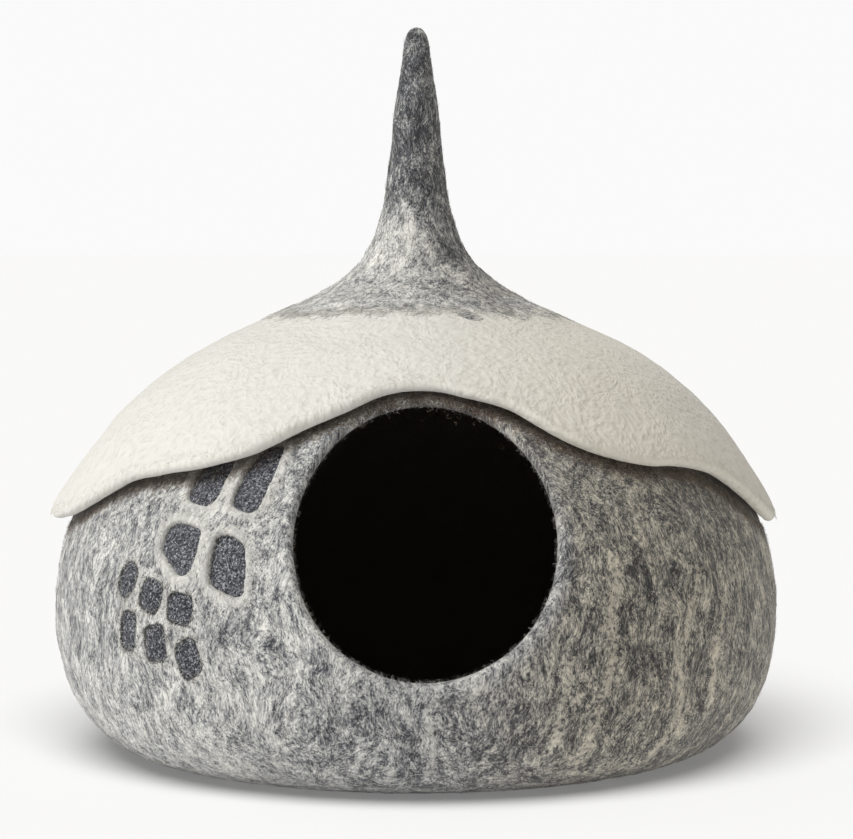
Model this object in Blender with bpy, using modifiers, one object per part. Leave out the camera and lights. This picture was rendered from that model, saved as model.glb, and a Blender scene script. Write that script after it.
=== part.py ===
"""Felt cat cave: a hollow ball of grey wool felt that runs up into a pointed spire, with a round
mouth in front, a cream skirt of felt over its shoulder, and charcoal window panes and pebbles
let into its left cheek.

Frame: metres, +Z up, origin on the floor under the middle of the flat base. The mouth looks
along -Y and +X is on the right of someone who faces it. Azimuth 0 is the front, positive to +X.
"""

import math
from collections import namedtuple

import bmesh
import bpy
import numpy as np
from mathutils import Matrix, Vector

# Driving dimensions
BALL_RADIUS = 0.250  # at the widest level
WIDEST_HEIGHT = 0.110
BASE_RADIUS = 0.165  # flat round the floor ring
CHEEK_FULLNESS = (2.48, 2.55)  # how square the lower quarter is, across and upwards
FELT = 0.009  # wall of the ball
SPIRE_WALL_SHARE = 0.6  # of the spire's own radius, where that is thinner than FELT
SPIRE_TIP_RADIUS = 0.004  # the wall stops thinning inside this
MOUTH_CENTRE = (0.0055, 0.169)  # across and up, as seen square from the front
MOUTH_RADIUS = 0.0865
MOUTH_LIP = 0.003  # the felt stands proud round the mouth ...
MOUTH_LIP_REACH = 0.018  # ... and settles back over this far
EDGE_ROUND = 0.0036  # rounding of a felt edge
SKIRT_FELT = 0.009
LAYER_GAP = 0.0009  # between the skirt's felted margin and the shoulder under it
MARGIN_WITHIN = 0.12  # the felted margin lies inside this radius, and the hem outside it
PIECE_GAP = 0.0003
UNEVEN = 0.0015  # hand-made waviness of the ball
FADE_HEIGHT = 0.33  # the waviness has died out at the floor and at this height
HEM_WAVE = 0.0022  # ripple of the skirt's free edge
HEM_WAVES = 7  # ripples round the hem

# The waviness is the sum of these waves round the axis, each leaning as it climbs.
Wave = namedtuple("Wave", "share turns phase per_metre")
WAVES = (Wave(0.5, 2, 0.8, 0), Wave(0.3, 3, -1.1, 9), Wave(0.2, 5, 0.0, 21))

# Mesh fineness
COLUMNS = 48
ROWS_BELOW_MOUTH, ROWS_BESIDE_MOUTH, ROWS_TO_CROWN, ROWS_ON_SPIRE, ROWS_ON_TIP = 6, 10, 4, 10, 3
SPIRE_TIP_LENGTH = 0.011  # the rounded end of the spire, along its surface
HOLE_COLUMNS = 3  # half the mouth's width in columns
HOLE_ROWS = ROWS_BESIDE_MOUTH // 2
WARP_REACH = 1.9  # the columns and rows bend round the mouth out to this many times its half size
SKIRT_ROWS = 7

# The ball's outer surface above its widest level, then the crown and the spire up to the tip.
Station = namedtuple("Station", "radius height")
UPPER_WALL = (
    Station(0.2500, 0.110),
    Station(0.2457, 0.139),
    Station(0.2355, 0.166),
    Station(0.2185, 0.1935),
    Station(0.1945, 0.220),
    Station(0.1645, 0.2468),
    Station(0.1290, 0.276),
    Station(0.0960, 0.2998),  # the shoulder ends and the crown begins
    Station(0.0775, 0.3092),
    Station(0.0534, 0.3235),
    Station(0.0392, 0.3372),
    Station(0.0306, 0.3515),
    Station(0.0257, 0.3654),
    Station(0.0221, 0.3792),
    Station(0.0200, 0.395),
    Station(0.0172, 0.418),
    Station(0.0160, 0.4343),
    Station(0.0141, 0.448),
    Station(0.0117, 0.4617),
    Station(0.0096, 0.4754),
    Station(0.0079, 0.4891),
    Station(0.0062, 0.4935),
    Station(0.0038, 0.4968),
    Station(0.0, 0.498),
)
CROWN_EDGE_HEIGHT = 0.2998

# The skirt's outer surface, from its thin felted margin to the lowest point of its hem.
SKIRT = (
    Station(0.0975, 0.3008),
    Station(0.1070, 0.2963),
    Station(0.1200, 0.2905),
    Station(0.1390, 0.2820),
    Station(0.1622, 0.2684),
    Station(0.1814, 0.2545),
    Station(0.1971, 0.2405),
    Station(0.2104, 0.2266),
    Station(0.2217, 0.2126),
    Station(0.2320, 0.1986),
    Station(0.2415, 0.1846),
    Station(0.2492, 0.1710),
    Station(0.2537, 0.1560),
)

# Height of the skirt's hem round the cave: arched over the mouth, lowest at the two sides.
HemStation = namedtuple("HemStation", "azimuth_deg height")
HEM = (
    HemStation(-150, 0.161),
    HemStation(-120, 0.166),
    HemStation(-90, 0.16),
    HemStation(-75, 0.1695),
    HemStation(-65, 0.182),
    HemStation(-55, 0.197),
    HemStation(-48, 0.205),
    HemStation(-38, 0.212),
    HemStation(-30, 0.2215),
    HemStation(-22, 0.237),
    HemStation(-16, 0.2495),
    HemStation(-7, 0.261),
    HemStation(3, 0.2625),
    HemStation(11, 0.2575),
    HemStation(19, 0.2505),
    HemStation(24, 0.2405),
    HemStation(30, 0.2285),
    HemStation(37, 0.2195),
    HemStation(44, 0.214),
    HemStation(50, 0.2095),
    HemStation(55, 0.2025),
    HemStation(60, 0.193),
    HemStation(66, 0.178),
    HemStation(75, 0.165),
    HemStation(90, 0.159),
    HemStation(120, 0.166),
    HemStation(150, 0.16),
    HemStation(180, 0.167),
)

# Charcoal felt let into the left cheek. Corners are millimetres across and up on the surface,
# from the point at this azimuth and height.
Pane = namedtuple("Pane", "name azimuth_deg height corners_mm")
PANES = (
    Pane(
        "window_pane_1",
        -37.8,
        0.1978,
        ((-13, -12), (-14.5, 10), (-4, 21), (9, 20), (9.5, -8), (5, -16)),
    ),
    Pane(
        "window_pane_2",
        -28.6,
        0.2038,
        ((-10, -21), (-10.5, 6), (-4, 24), (8, 24), (9, 4), (7.5, -27)),
    ),
    Pane(
        "window_pane_3",
        -39.1,
        0.1591,
        ((-15.5, -3), (-15, 13), (-6, 16.5), (13.5, 13), (14, -16), (5.5, -18)),
    ),
    Pane(
        "window_pane_4",
        -29.4,
        0.1499,
        ((-12.5, 19), (-2, 21), (9.5, 14.5), (14.5, -16), (8.5, -18.5), (-11, -10.5)),
    ),
)
Pebble = namedtuple("Pebble", "name azimuth_deg height width length tilt_deg")
PEBBLES = (
    Pebble("pebble_1", -49.3, 0.1356, 0.0155, 0.0225, 8),
    Pebble("pebble_2", -43.4, 0.1279, 0.0190, 0.0215, 5),
    Pebble("pebble_3", -37.2, 0.1220, 0.0195, 0.0205, 0),
    Pebble("pebble_4", -48.0, 0.1034, 0.0150, 0.0245, 0),
    Pebble("pebble_5", -42.0, 0.0978, 0.0185, 0.0235, -6),
    Pebble("pebble_6", -35.4, 0.0909, 0.0185, 0.0240, -22),
)
PEBBLE_SQUARENESS = 2.5
PEBBLE_SIDES = 12
INLAY_FELT = 0.004
PANE_SUNK = 0.002  # a pane lies this far under the surface round it
PEBBLE_SUNK = 0.0
INLAY_CROWN = 0.0006  # an inlay swells this much in the middle
CORNER_CUTS = 2  # rounds of corner cutting that round a pane's corners
CUTTER_CLEAR = 0.008  # a pocket's cutter reaches this far out of the surface

# Steps along the surface for its directions, and the distance at which points are one point.
SECTION_STEP = 0.0005
SURFACE_STEP = 0.002
AZIMUTH_STEP = 0.01  # radians
SAME_POINT = 1e-5

GREY_WOOL = (0.33, 0.335, 0.34)
CREAM_WOOL = (0.78, 0.75, 0.67)
CHARCOAL_WOOL = (0.065, 0.065, 0.075)
WOOL_ROUGHNESS = 0.95


def clear_scene():
    for obj in list(bpy.data.objects):
        bpy.data.objects.remove(obj, do_unlink=True)


def new_collection(name):
    collection = bpy.data.collections.new(name)
    bpy.context.scene.collection.children.link(collection)
    return collection


def felt_material(name, colour):
    material = bpy.data.materials.new(name)
    material.use_nodes = True
    material.diffuse_color = (*colour, 1.0)
    shader = material.node_tree.nodes["Principled BSDF"]
    shader.inputs["Base Color"].default_value = (*colour, 1.0)
    shader.inputs["Roughness"].default_value = WOOL_ROUGHNESS
    shader.inputs["Metallic"].default_value = 0.0
    return material


def smooth_rows(stations, steps=10):
    """Points on the smooth curve through the stations, as rows of radius and height."""
    knots = np.array(stations, float)
    arc = np.concatenate([[0.0], np.cumsum(np.hypot(*np.diff(knots, axis=0).T))])
    slopes = np.empty_like(knots)
    slopes[0] = (knots[1] - knots[0]) / (arc[1] - arc[0])
    slopes[-1] = (knots[-1] - knots[-2]) / (arc[-1] - arc[-2])
    for i in range(1, len(knots) - 1):
        before, after = arc[i] - arc[i - 1], arc[i + 1] - arc[i]
        rise_in = (knots[i] - knots[i - 1]) / before
        rise_out = (knots[i + 1] - knots[i]) / after
        slopes[i] = (rise_in * after + rise_out * before) / (before + after)
    rows = []
    for i in range(len(knots) - 1):
        length = arc[i + 1] - arc[i]
        for t in np.arange(steps) / steps:
            rows.append(
                (2 * t**3 - 3 * t**2 + 1) * knots[i]
                + (t**3 - 2 * t**2 + t) * length * slopes[i]
                + (3 * t**2 - 2 * t**3) * knots[i + 1]
                + (t**3 - t**2) * length * slopes[i + 1]
            )
    rows.append(knots[-1])
    return np.array(rows)


class Outline:
    """A half section of the felt's outer surface, read by its arc length."""

    def __init__(self, rows):
        self.radius, self.height = rows.T
        steps = np.hypot(np.diff(self.radius), np.diff(self.height))
        self.arc = np.concatenate([[0.0], np.cumsum(steps)])
        self.length = self.arc[-1]

    def at(self, arc):
        return np.interp(arc, self.arc, self.radius), np.interp(arc, self.arc, self.height)

    def arc_at_height(self, height):
        """Arc length where the section, which rises or falls all the way, passes this height."""
        order = slice(None) if self.height[0] < self.height[-1] else slice(None, None, -1)
        return float(np.interp(height, self.height[order], self.arc[order]))

    def normal(self, arc):
        """Unit normal (radius, height) on the outside of the section."""
        (r0, z0), (r1, z1) = self.at(arc - SECTION_STEP), self.at(arc + SECTION_STEP)
        along = Vector((r1 - r0, z1 - z0)).normalized()
        return Vector((along.y, -along.x))


def cheek_rows(count=32):
    """The ball below its widest level: a superellipse quarter that starts flat on the floor."""
    across, upward = CHEEK_FULLNESS
    rows = [(0.0, 0.0)]
    for t in np.linspace(0.0, math.pi / 2, count, endpoint=False):
        radius = BASE_RADIUS + (BALL_RADIUS - BASE_RADIUS) * math.sin(t) ** (2 / across)
        rows.append((radius, WIDEST_HEIGHT * (1 - math.cos(t) ** (2 / upward))))
    return np.array(rows)


BALL = Outline(np.concatenate([cheek_rows(), smooth_rows(UPPER_WALL)]))
SKIRT_SECTION = Outline(smooth_rows(SKIRT))


def unevenness(azimuth, height):
    """Hand-made waviness of the felt, as a radial offset: none at the base or up the spire."""
    fade = math.sin(math.pi * min(max(height / FADE_HEIGHT, 0.0), 1.0))
    waves = (w.share * math.sin(w.turns * azimuth + w.phase + w.per_metre * height) for w in WAVES)
    return UNEVEN * fade * sum(waves)


def turned(azimuth, radius, height):
    return Vector((radius * math.sin(azimuth), -radius * math.cos(azimuth), height))


def mouth_lip(azimuth, radius, height):
    """How far the felt round the mouth stands proud here."""
    across = radius * math.sin(azimuth) - MOUTH_CENTRE[0]
    away = math.hypot(across, height - MOUTH_CENTRE[1]) - MOUTH_RADIUS
    if math.cos(azimuth) < 0 or away > MOUTH_LIP_REACH:
        return 0.0
    return MOUTH_LIP * 0.5 * (1 + math.cos(math.pi * max(away, 0.0) / MOUTH_LIP_REACH))


def ball_point(azimuth, arc):
    """Point of the ball's outer surface at this azimuth and arc length from the base's centre."""
    radius, height = BALL.at(arc)
    offset = unevenness(azimuth, height)
    if arc <= BASE_RADIUS:
        return turned(azimuth, radius, height)
    normal = BALL.normal(arc) * mouth_lip(azimuth, radius, height)
    return turned(azimuth, radius + offset + normal.x, height + normal.y)


def ball_frame(azimuth, height):
    """Point on the ball with its directions across, up the surface and outwards."""
    arc = BALL.arc_at_height(height)
    point = ball_point(azimuth, arc)
    across = (ball_point(azimuth + AZIMUTH_STEP, arc) - point).normalized()
    up = (ball_point(azimuth, arc + SURFACE_STEP) - point).normalized()
    return point, across, up, across.cross(up).normalized()


def ball_row_arcs():
    """Arc length of each row, from the base's centre to the spire's tip."""
    low = BALL.arc_at_height(MOUTH_CENTRE[1] - MOUTH_RADIUS)
    high = BALL.arc_at_height(MOUTH_CENTRE[1] + MOUTH_RADIUS)
    crown = BALL.arc_at_height(CROWN_EDGE_HEIGHT)
    stretches = (
        (BASE_RADIUS, low, ROWS_BELOW_MOUTH),
        (low, high, ROWS_BESIDE_MOUTH),
        (high, crown, ROWS_TO_CROWN),
        (crown, BALL.length - SPIRE_TIP_LENGTH, ROWS_ON_SPIRE),
        (BALL.length - SPIRE_TIP_LENGTH, BALL.length, ROWS_ON_TIP),
    )
    arcs = [0.0]
    for start, end, rows in stretches:
        arcs += [start + (end - start) * k / rows for k in range(rows)]
    return arcs + [BALL.length]


def mouth_edge(turn):
    """Azimuth and arc length of the mouth's edge at this angle, measured from +X upwards."""
    across = MOUTH_CENTRE[0] + MOUTH_RADIUS * math.cos(turn)
    arc = BALL.arc_at_height(MOUTH_CENTRE[1] + MOUTH_RADIUS * math.sin(turn))
    return math.asin(across / BALL.at(arc)[0]), arc


def square_turn(across, up):
    """The angle that spreads the points of a square's edge evenly round a circle."""
    if abs(across) >= abs(up):
        return (0.0 if across > 0 else math.pi) + math.pi / 4 * up / across
    return (math.pi / 2 if up > 0 else -math.pi / 2) - math.pi / 4 * across / up


def lattice_place(column, row, arcs, mouth_row):
    """Azimuth and arc length of one crossing of the columns and rows, bent round the mouth.

    Returns None inside the mouth.
    """

    def straight(column, row):
        azimuth = 2 * math.pi * column / COLUMNS
        return azimuth, float(np.interp(row, range(len(arcs)), arcs))

    across, up = column / HOLE_COLUMNS, (row - mouth_row) / HOLE_ROWS
    reach = max(abs(across), abs(up))
    if round(reach, 6) < 1:
        return None
    if reach >= WARP_REACH:
        return straight(column, row)
    share = (reach - 1) / (WARP_REACH - 1)
    edge = mouth_edge(square_turn(across, up))
    outward = WARP_REACH / reach
    far = straight(column * outward, mouth_row + (row - mouth_row) * outward)
    return tuple(near + (away - near) * share for near, away in zip(edge, far))


def mesh_object(name, bm, collection, material):
    mesh = bpy.data.meshes.new(name)
    bm.to_mesh(mesh)
    bm.free()
    mesh.shade_smooth()
    mesh.set_sharp_from_angle(angle=math.radians(50))
    obj = bpy.data.objects.new(name, mesh)
    if material:
        mesh.materials.append(material)
    collection.objects.link(obj)
    return obj


def base_faces_down(bm):
    """Whether the lowest face of an open surface looks down, as it does where all look out."""
    lowest = min(bm.faces, key=lambda face: face.calc_center_median().z)
    lowest.normal_update()
    return lowest.normal.z < 0


def ball_surface():
    """The ball and spire as one open sheet, its faces looking out, with the mouth left out."""
    arcs = ball_row_arcs()
    mouth_row = 1 + ROWS_BELOW_MOUTH + HOLE_ROWS
    bm = bmesh.new()
    bmesh.ops.create_grid(bm, x_segments=COLUMNS, y_segments=len(arcs) - 1, size=1.0)
    inside = []
    for vertex in bm.verts:
        column = round((vertex.co.x + 1) / 2 * COLUMNS) - COLUMNS // 2
        row = round((vertex.co.y + 1) / 2 * (len(arcs) - 1))
        place = lattice_place(column, row, arcs, mouth_row)
        if place is None:
            inside.append(vertex)
        else:
            vertex.co = ball_point(*place)
    bmesh.ops.delete(bm, geom=inside, context="VERTS")
    bmesh.ops.remove_doubles(bm, verts=bm.verts, dist=SAME_POINT)
    bmesh.ops.recalc_face_normals(bm, faces=bm.faces)
    if not base_faces_down(bm):
        bmesh.ops.reverse_faces(bm, faces=bm.faces)
    return bm


def add_wall_weights(obj):
    """Vertex weights that thin the wall up the spire, as a share of FELT."""
    group = obj.vertex_groups.new(name="wall")
    for vertex in obj.data.vertices:
        radius = math.hypot(vertex.co.x, vertex.co.y)
        thin = SPIRE_WALL_SHARE * max(radius, SPIRE_TIP_RADIUS)
        low = vertex.co.z < CROWN_EDGE_HEIGHT
        group.add([vertex.index], 1.0 if low else min(1.0, thin / FELT), "REPLACE")
    return group.name


def make_ball(collection, cutters, material):
    obj = mesh_object("cave_body", ball_surface(), collection, material)
    wall = obj.modifiers.new("felt wall", "SOLIDIFY")
    wall.thickness = FELT
    wall.offset = -1.0
    wall.use_even_offset = True
    wall.vertex_group = add_wall_weights(obj)
    rim = obj.modifiers.new("rounded mouth rim", "BEVEL")
    rim.width = EDGE_ROUND
    rim.segments = 2
    rim.limit_method = "ANGLE"
    rim.angle_limit = math.radians(60)
    pockets = obj.modifiers.new("inlay pockets", "BOOLEAN")
    pockets.operation = "DIFFERENCE"
    pockets.solver = "EXACT"
    pockets.operand_type = "COLLECTION"
    pockets.collection = cutters
    return obj


def hem_height(azimuth):
    """Height of the hem at this azimuth, smooth through the HEM stations all the way round."""
    degrees = math.degrees(azimuth)
    turns = [
        HemStation(row.azimuth_deg + shift, row.height) for shift in (-360, 0, 360) for row in HEM
    ]
    after = next(i for i, row in enumerate(turns) if row.azimuth_deg > degrees)
    a, b, c, d = turns[after - 2 : after + 2]
    span = c.azimuth_deg - b.azimuth_deg
    t = (degrees - b.azimuth_deg) / span
    slope_b = (c.height - a.height) / (c.azimuth_deg - a.azimuth_deg) * span
    slope_c = (d.height - b.height) / (d.azimuth_deg - b.azimuth_deg) * span
    return (
        (2 * t**3 - 3 * t**2 + 1) * b.height
        + (t**3 - 2 * t**2 + t) * slope_b
        + (3 * t**2 - 2 * t**3) * c.height
        + (t**3 - t**2) * slope_c
    )


def skirt_point(azimuth, arc, share, depth):
    """Point of the skirt at this arc length, this far under its outer surface."""
    radius, height = SKIRT_SECTION.at(arc)
    ripple = HEM_WAVE * share**3 * math.sin(HEM_WAVES * azimuth + 0.6)
    normal = -SKIRT_SECTION.normal(arc) * (ripple - depth)
    offset = unevenness(azimuth, height)
    return turned(azimuth, radius + offset + normal.x, height + normal.y)


def skirt_thickness(arc):
    """Full felt where the skirt hangs free, less where it lies on the ball's shoulder."""
    radius, height = SKIRT_SECTION.at(arc)
    to_ball = np.hypot(BALL.radius - radius, BALL.height - height).min()
    return min(SKIRT_FELT, to_ball - LAYER_GAP)


def skirt_layer(bm, under):
    """One face of the skirt, its rows spread evenly from the felted margin to the hem."""
    made = bmesh.ops.create_grid(bm, x_segments=COLUMNS, y_segments=SKIRT_ROWS, size=1.0)
    for vertex in made["verts"]:
        azimuth = math.pi * vertex.co.x
        share = (vertex.co.y + 1) / 2
        arc = share * SKIRT_SECTION.arc_at_height(hem_height(azimuth))
        depth = skirt_thickness(arc) if under else 0.0
        vertex.co = skirt_point(azimuth, arc, share, depth)
    bmesh.ops.remove_doubles(bm, verts=made["verts"], dist=SAME_POINT)


def make_skirt(collection, material):
    """Two faces joined along the felted margin and the hem."""
    bm = bmesh.new()
    skirt_layer(bm, under=False)
    skirt_layer(bm, under=True)
    bmesh.ops.recalc_face_normals(bm, faces=bm.faces)
    open_edges = [edge for edge in bm.edges if edge.is_boundary]
    margin = [edge for edge in open_edges if edge.verts[0].co.xy.length < MARGIN_WITHIN]
    hem = [edge for edge in open_edges if edge not in margin]
    bmesh.ops.bridge_loops(bm, edges=margin)
    bmesh.ops.bridge_loops(bm, edges=hem)
    bmesh.ops.recalc_face_normals(bm, faces=bm.faces)
    bmesh.ops.bevel(bm, geom=hem, offset=EDGE_ROUND, segments=2, profile=0.5, affect="EDGES")
    mesh_object("roof_skirt", bm, collection, material)


def pane_outline(pane):
    """The pane's corners, each cut off again and again, so that the edge runs round them."""
    points = [Vector(corner) / 1000 for corner in pane.corners_mm]
    for _ in range(CORNER_CUTS):
        after = points[1:] + points[:1]
        points = [p for a, b in zip(points, after) for p in (a.lerp(b, 0.25), a.lerp(b, 0.75))]
    return points


def pebble_outline(pebble):
    """A superellipse leaning to the right by its tilt."""
    lean = Matrix.Rotation(-math.radians(pebble.tilt_deg), 2)
    points = []
    for k in range(PEBBLE_SIDES):
        turn = 2 * math.pi * (k + 0.5) / PEBBLE_SIDES
        cos, sin = math.cos(turn), math.sin(turn)
        x = math.copysign(abs(cos) ** (2 / PEBBLE_SQUARENESS), cos) * pebble.width / 2
        y = math.copysign(abs(sin) ** (2 / PEBBLE_SQUARENESS), sin) * pebble.length / 2
        points.append(lean @ Vector((x, y)))
    return points


def grown(outline, distance):
    """The outline with every point moved out from its neighbours' line by the distance."""
    befores, afters = outline[-1:] + outline[:-1], outline[1:] + outline[:1]
    sign = math.copysign(1, sum(a.cross(b) for a, b in zip(outline, afters)))
    points = []
    for before, here, after in zip(befores, outline, afters):
        along = (after - before).normalized()
        points.append(here + Vector((along.y, -along.x)) * sign * distance)
    return points


def prism(outline, place, low, high, crown):
    """The outline as a solid on the ball, between two depths, its outer face swelling by crown."""
    origin, across, up, out = ball_frame(math.radians(place.azimuth_deg), place.height)
    bm = bmesh.new()
    rings = [
        [bm.verts.new(origin + across * p.x + up * p.y + out * level) for p in outline]
        for level in (low, high)
    ]
    floor, top = (bm.faces.new(ring) for ring in rings)
    bmesh.ops.bridge_loops(bm, edges=list(floor.edges) + list(top.edges))
    bmesh.ops.recalc_face_normals(bm, faces=bm.faces)
    if crown:
        bmesh.ops.poke(bm, faces=[top], offset=crown)
    return bm


def make_inlay(place, outline, sunk, collection, cutters, material):
    """A charcoal inlay, and the cutter of the pocket that holds it."""
    floor = -sunk - INLAY_FELT
    mesh_object(place.name, prism(outline, place, floor, -sunk, INLAY_CROWN), collection, material)
    pocket = prism(grown(outline, PIECE_GAP), place, floor - PIECE_GAP, CUTTER_CLEAR, 0.0)
    cutter = mesh_object(f"{place.name}_pocket", pocket, cutters, None)
    cutter.hide_render = True
    cutter.display_type = "WIRE"


def main():
    clear_scene()
    collection = new_collection("felt_cat_cave")
    cutters = new_collection("pocket_cutters")
    grey = felt_material("grey_wool_felt", GREY_WOOL)
    cream = felt_material("cream_wool_felt", CREAM_WOOL)
    charcoal = felt_material("charcoal_wool_felt", CHARCOAL_WOOL)
    for pane in PANES:
        make_inlay(pane, pane_outline(pane), PANE_SUNK, collection, cutters, charcoal)
    for pebble in PEBBLES:
        make_inlay(pebble, pebble_outline(pebble), PEBBLE_SUNK, collection, cutters, charcoal)
    make_ball(collection, cutters, grey)
    make_skirt(collection, cream)
    cutters.hide_render = True


main()
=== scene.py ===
"""Felt cat cave: the looks of a hollow ball of wool felt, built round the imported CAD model.

The ball runs up into a crown and a pointed spire. A cream skirt of felt lies over its shoulder,
and four charcoal window panes and six charcoal pebbles are let into its left cheek.

Frame: metres, +Z up, origin on the floor under the middle of the base. The mouth looks along -Y
and +X is on the right of someone who faces it. Azimuth 0 is the front, positive towards +X.
"""

import logging
import math
from collections.abc import Sequence
from dataclasses import dataclass, field
from enum import Enum
from typing import Any, NamedTuple

import bmesh
import bpy
import numpy as np
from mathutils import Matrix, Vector, noise


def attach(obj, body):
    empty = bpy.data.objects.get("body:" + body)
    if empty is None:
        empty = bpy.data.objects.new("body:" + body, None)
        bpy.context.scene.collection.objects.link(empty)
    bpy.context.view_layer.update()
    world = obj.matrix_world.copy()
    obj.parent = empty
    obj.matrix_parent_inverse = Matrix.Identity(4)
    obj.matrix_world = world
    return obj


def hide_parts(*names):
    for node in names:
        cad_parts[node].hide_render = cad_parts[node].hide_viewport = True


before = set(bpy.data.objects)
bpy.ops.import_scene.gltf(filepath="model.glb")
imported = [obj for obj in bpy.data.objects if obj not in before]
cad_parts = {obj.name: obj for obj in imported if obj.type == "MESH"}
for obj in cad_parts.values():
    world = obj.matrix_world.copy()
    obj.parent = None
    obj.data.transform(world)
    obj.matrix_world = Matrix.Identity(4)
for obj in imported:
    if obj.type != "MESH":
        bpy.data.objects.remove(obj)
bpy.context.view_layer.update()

Array = np.ndarray
Material = bpy.types.Material
Piece = bpy.types.Object
Socket = bpy.types.NodeSocket
Tree = bpy.types.NodeTree
log = logging.getLogger("felt_cat_cave")

MM = 0.001
BODY = "root"

# ---------------- sizes shared by the pieces

FELT = 9.0 * MM  # wall of the ball, and the skirt where it hangs free
BASE_RADIUS = 0.165
BALL_RADIUS = 0.250
WIDEST_HEIGHT = 0.110
CHEEK_FULLNESS = (2.48, 2.55)
MOUTH_CENTRE = (0.0055, 0.1655)  # across and up, square from the front
MOUTH_RADIUS = 0.0828  # of the hole that the rolled rim leaves
MOUTH_LIP = 3.0 * MM
MOUTH_LIP_REACH = 18.0 * MM
UNEVEN = 1.5 * MM  # how far the hand-made ball strays from round
FADE_HEIGHT = 0.33
CROWN_EDGE_HEIGHT = 0.2998
SPIRE_WALL_SHARE = 0.6
SPIRE_TIP_RADIUS = 4.0 * MM
SECTION_STEP = 0.5 * MM
SWELL_AT_OUTLINE = 0.25  # of the swelling's full height, at an inlay's outline
SWELL_SHAPE = 0.7  # under 1, the swelling is steeper on the inlay's side


class Station(NamedTuple):
    """One place on a half section."""

    radius: float
    height: float


class Wave(NamedTuple):
    """One wave of the felt's hand-made unevenness."""

    share: float
    turns: int
    phase: float
    per_metre: float


class HemStation(NamedTuple):
    """Height of the hem at one azimuth."""

    azimuth_deg: float
    height: float


WAVES = (Wave(0.5, 2, 0.8, 0), Wave(0.3, 3, -1.1, 9), Wave(0.2, 5, 0.0, 21))

UPPER_WALL = tuple(
    Station(*place)
    for place in (
        (0.2500, 0.110), (0.2457, 0.139), (0.2355, 0.166), (0.2185, 0.1935), (0.1945, 0.220),
        (0.1645, 0.2468), (0.1290, 0.276), (0.0960, 0.2998), (0.0775, 0.3092), (0.0534, 0.3235),
        (0.0392, 0.3372), (0.0306, 0.3515), (0.0257, 0.3654), (0.0221, 0.3792), (0.0200, 0.395),
        (0.0172, 0.418), (0.0160, 0.4343), (0.0141, 0.448), (0.0117, 0.4617), (0.0096, 0.4754),
        (0.0079, 0.4891), (0.0062, 0.4935), (0.0038, 0.4968), (0.0, 0.498),
    )
)

SKIRT_STATIONS = tuple(
    Station(*place)
    for place in (
        (0.0975, 0.3008), (0.1070, 0.2963), (0.1200, 0.2905), (0.1390, 0.2820), (0.1622, 0.2684),
        (0.1814, 0.2545), (0.1971, 0.2405), (0.2104, 0.2266), (0.2217, 0.2126), (0.2320, 0.1986),
        (0.2415, 0.1846), (0.2492, 0.1710), (0.2537, 0.1560),
    )
)

HEM_STATIONS = tuple(
    HemStation(*place)
    for place in (
        (-150, 0.161), (-120, 0.166), (-90, 0.16), (-75, 0.1695), (-65, 0.185),
        (-55, 0.2005), (-48, 0.205), (-38, 0.212), (-30, 0.2225), (-22, 0.2405),
        (-16, 0.2495), (-7, 0.261), (3, 0.2625), (11, 0.2575), (19, 0.2505),
        (24, 0.2405), (30, 0.2285), (37, 0.2195), (44, 0.2130), (50, 0.2105),
        (55, 0.2065), (60, 0.2008), (66, 0.1880), (75, 0.1685), (90, 0.159),
        (120, 0.166), (150, 0.16), (180, 0.167),
    )
)


# ---------------- small helpers


def smoothstep(low: float, high: float, value: Array) -> Array:
    """Rises smoothly from 0 at low to 1 at high.

    Args:
        low: Where it leaves 0.
        high: Where it reaches 1.
        value: The values to read it at.

    Returns:
        The shares from 0 to 1.
    """
    t = np.clip((value - low) / (high - low), 0.0, 1.0)
    return t * t * (3 - 2 * t)


def hermite(t: Array, start: Array, leave: Array, end: Array, arrive: Array) -> Array:
    """A smooth cubic stretch between two places.

    Args:
        t: Share of the stretch, from 0 to 1.
        start: The place at 0.
        leave: The slope at 0, for the whole stretch.
        end: The place at 1.
        arrive: The slope at 1, for the whole stretch.

    Returns:
        The places at those shares.
    """
    return (
        (2 * t**3 - 3 * t**2 + 1) * start + (t**3 - 2 * t**2 + t) * leave
        + (3 * t**2 - 2 * t**3) * end + (t**3 - t**2) * arrive
    )


def smooth_rows(stations: Sequence[Station], steps: int = 10) -> Array:
    """Points on the smooth curve through the stations, as rows of radius and height.

    Args:
        stations: The places that the curve goes through.
        steps: Points for each stretch between two stations.

    Returns:
        Rows of radius and height.
    """
    knots = np.array(stations, float)
    arc = np.concatenate([[0.0], np.cumsum(np.hypot(*np.diff(knots, axis=0).T))])
    slopes = np.empty_like(knots)
    slopes[0] = (knots[1] - knots[0]) / (arc[1] - arc[0])
    slopes[-1] = (knots[-1] - knots[-2]) / (arc[-1] - arc[-2])
    for i in range(1, len(knots) - 1):
        before, after = arc[i] - arc[i - 1], arc[i + 1] - arc[i]
        rise_in = (knots[i] - knots[i - 1]) / before
        rise_out = (knots[i + 1] - knots[i]) / after
        slopes[i] = (rise_in * after + rise_out * before) / (before + after)
    rows = []
    for i in range(len(knots) - 1):
        length = arc[i + 1] - arc[i]
        leave, arrive = length * slopes[i], length * slopes[i + 1]
        for t in np.arange(steps) / steps:
            rows.append(hermite(t, knots[i], leave, knots[i + 1], arrive))
    rows.append(knots[-1])
    return np.array(rows)


def unevenness(azimuth: Array, height: Array) -> Array:
    """Radial offset of the hand-made felt, none at the base or up the spire.

    Args:
        azimuth: Azimuths in radians.
        height: Heights in metres.

    Returns:
        The offsets in metres.
    """
    fade = np.sin(math.pi * np.clip(height / FADE_HEIGHT, 0.0, 1.0))
    waves = sum(w.share * np.sin(w.turns * azimuth + w.phase + w.per_metre * height) for w in WAVES)
    return UNEVEN * fade * waves


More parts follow.
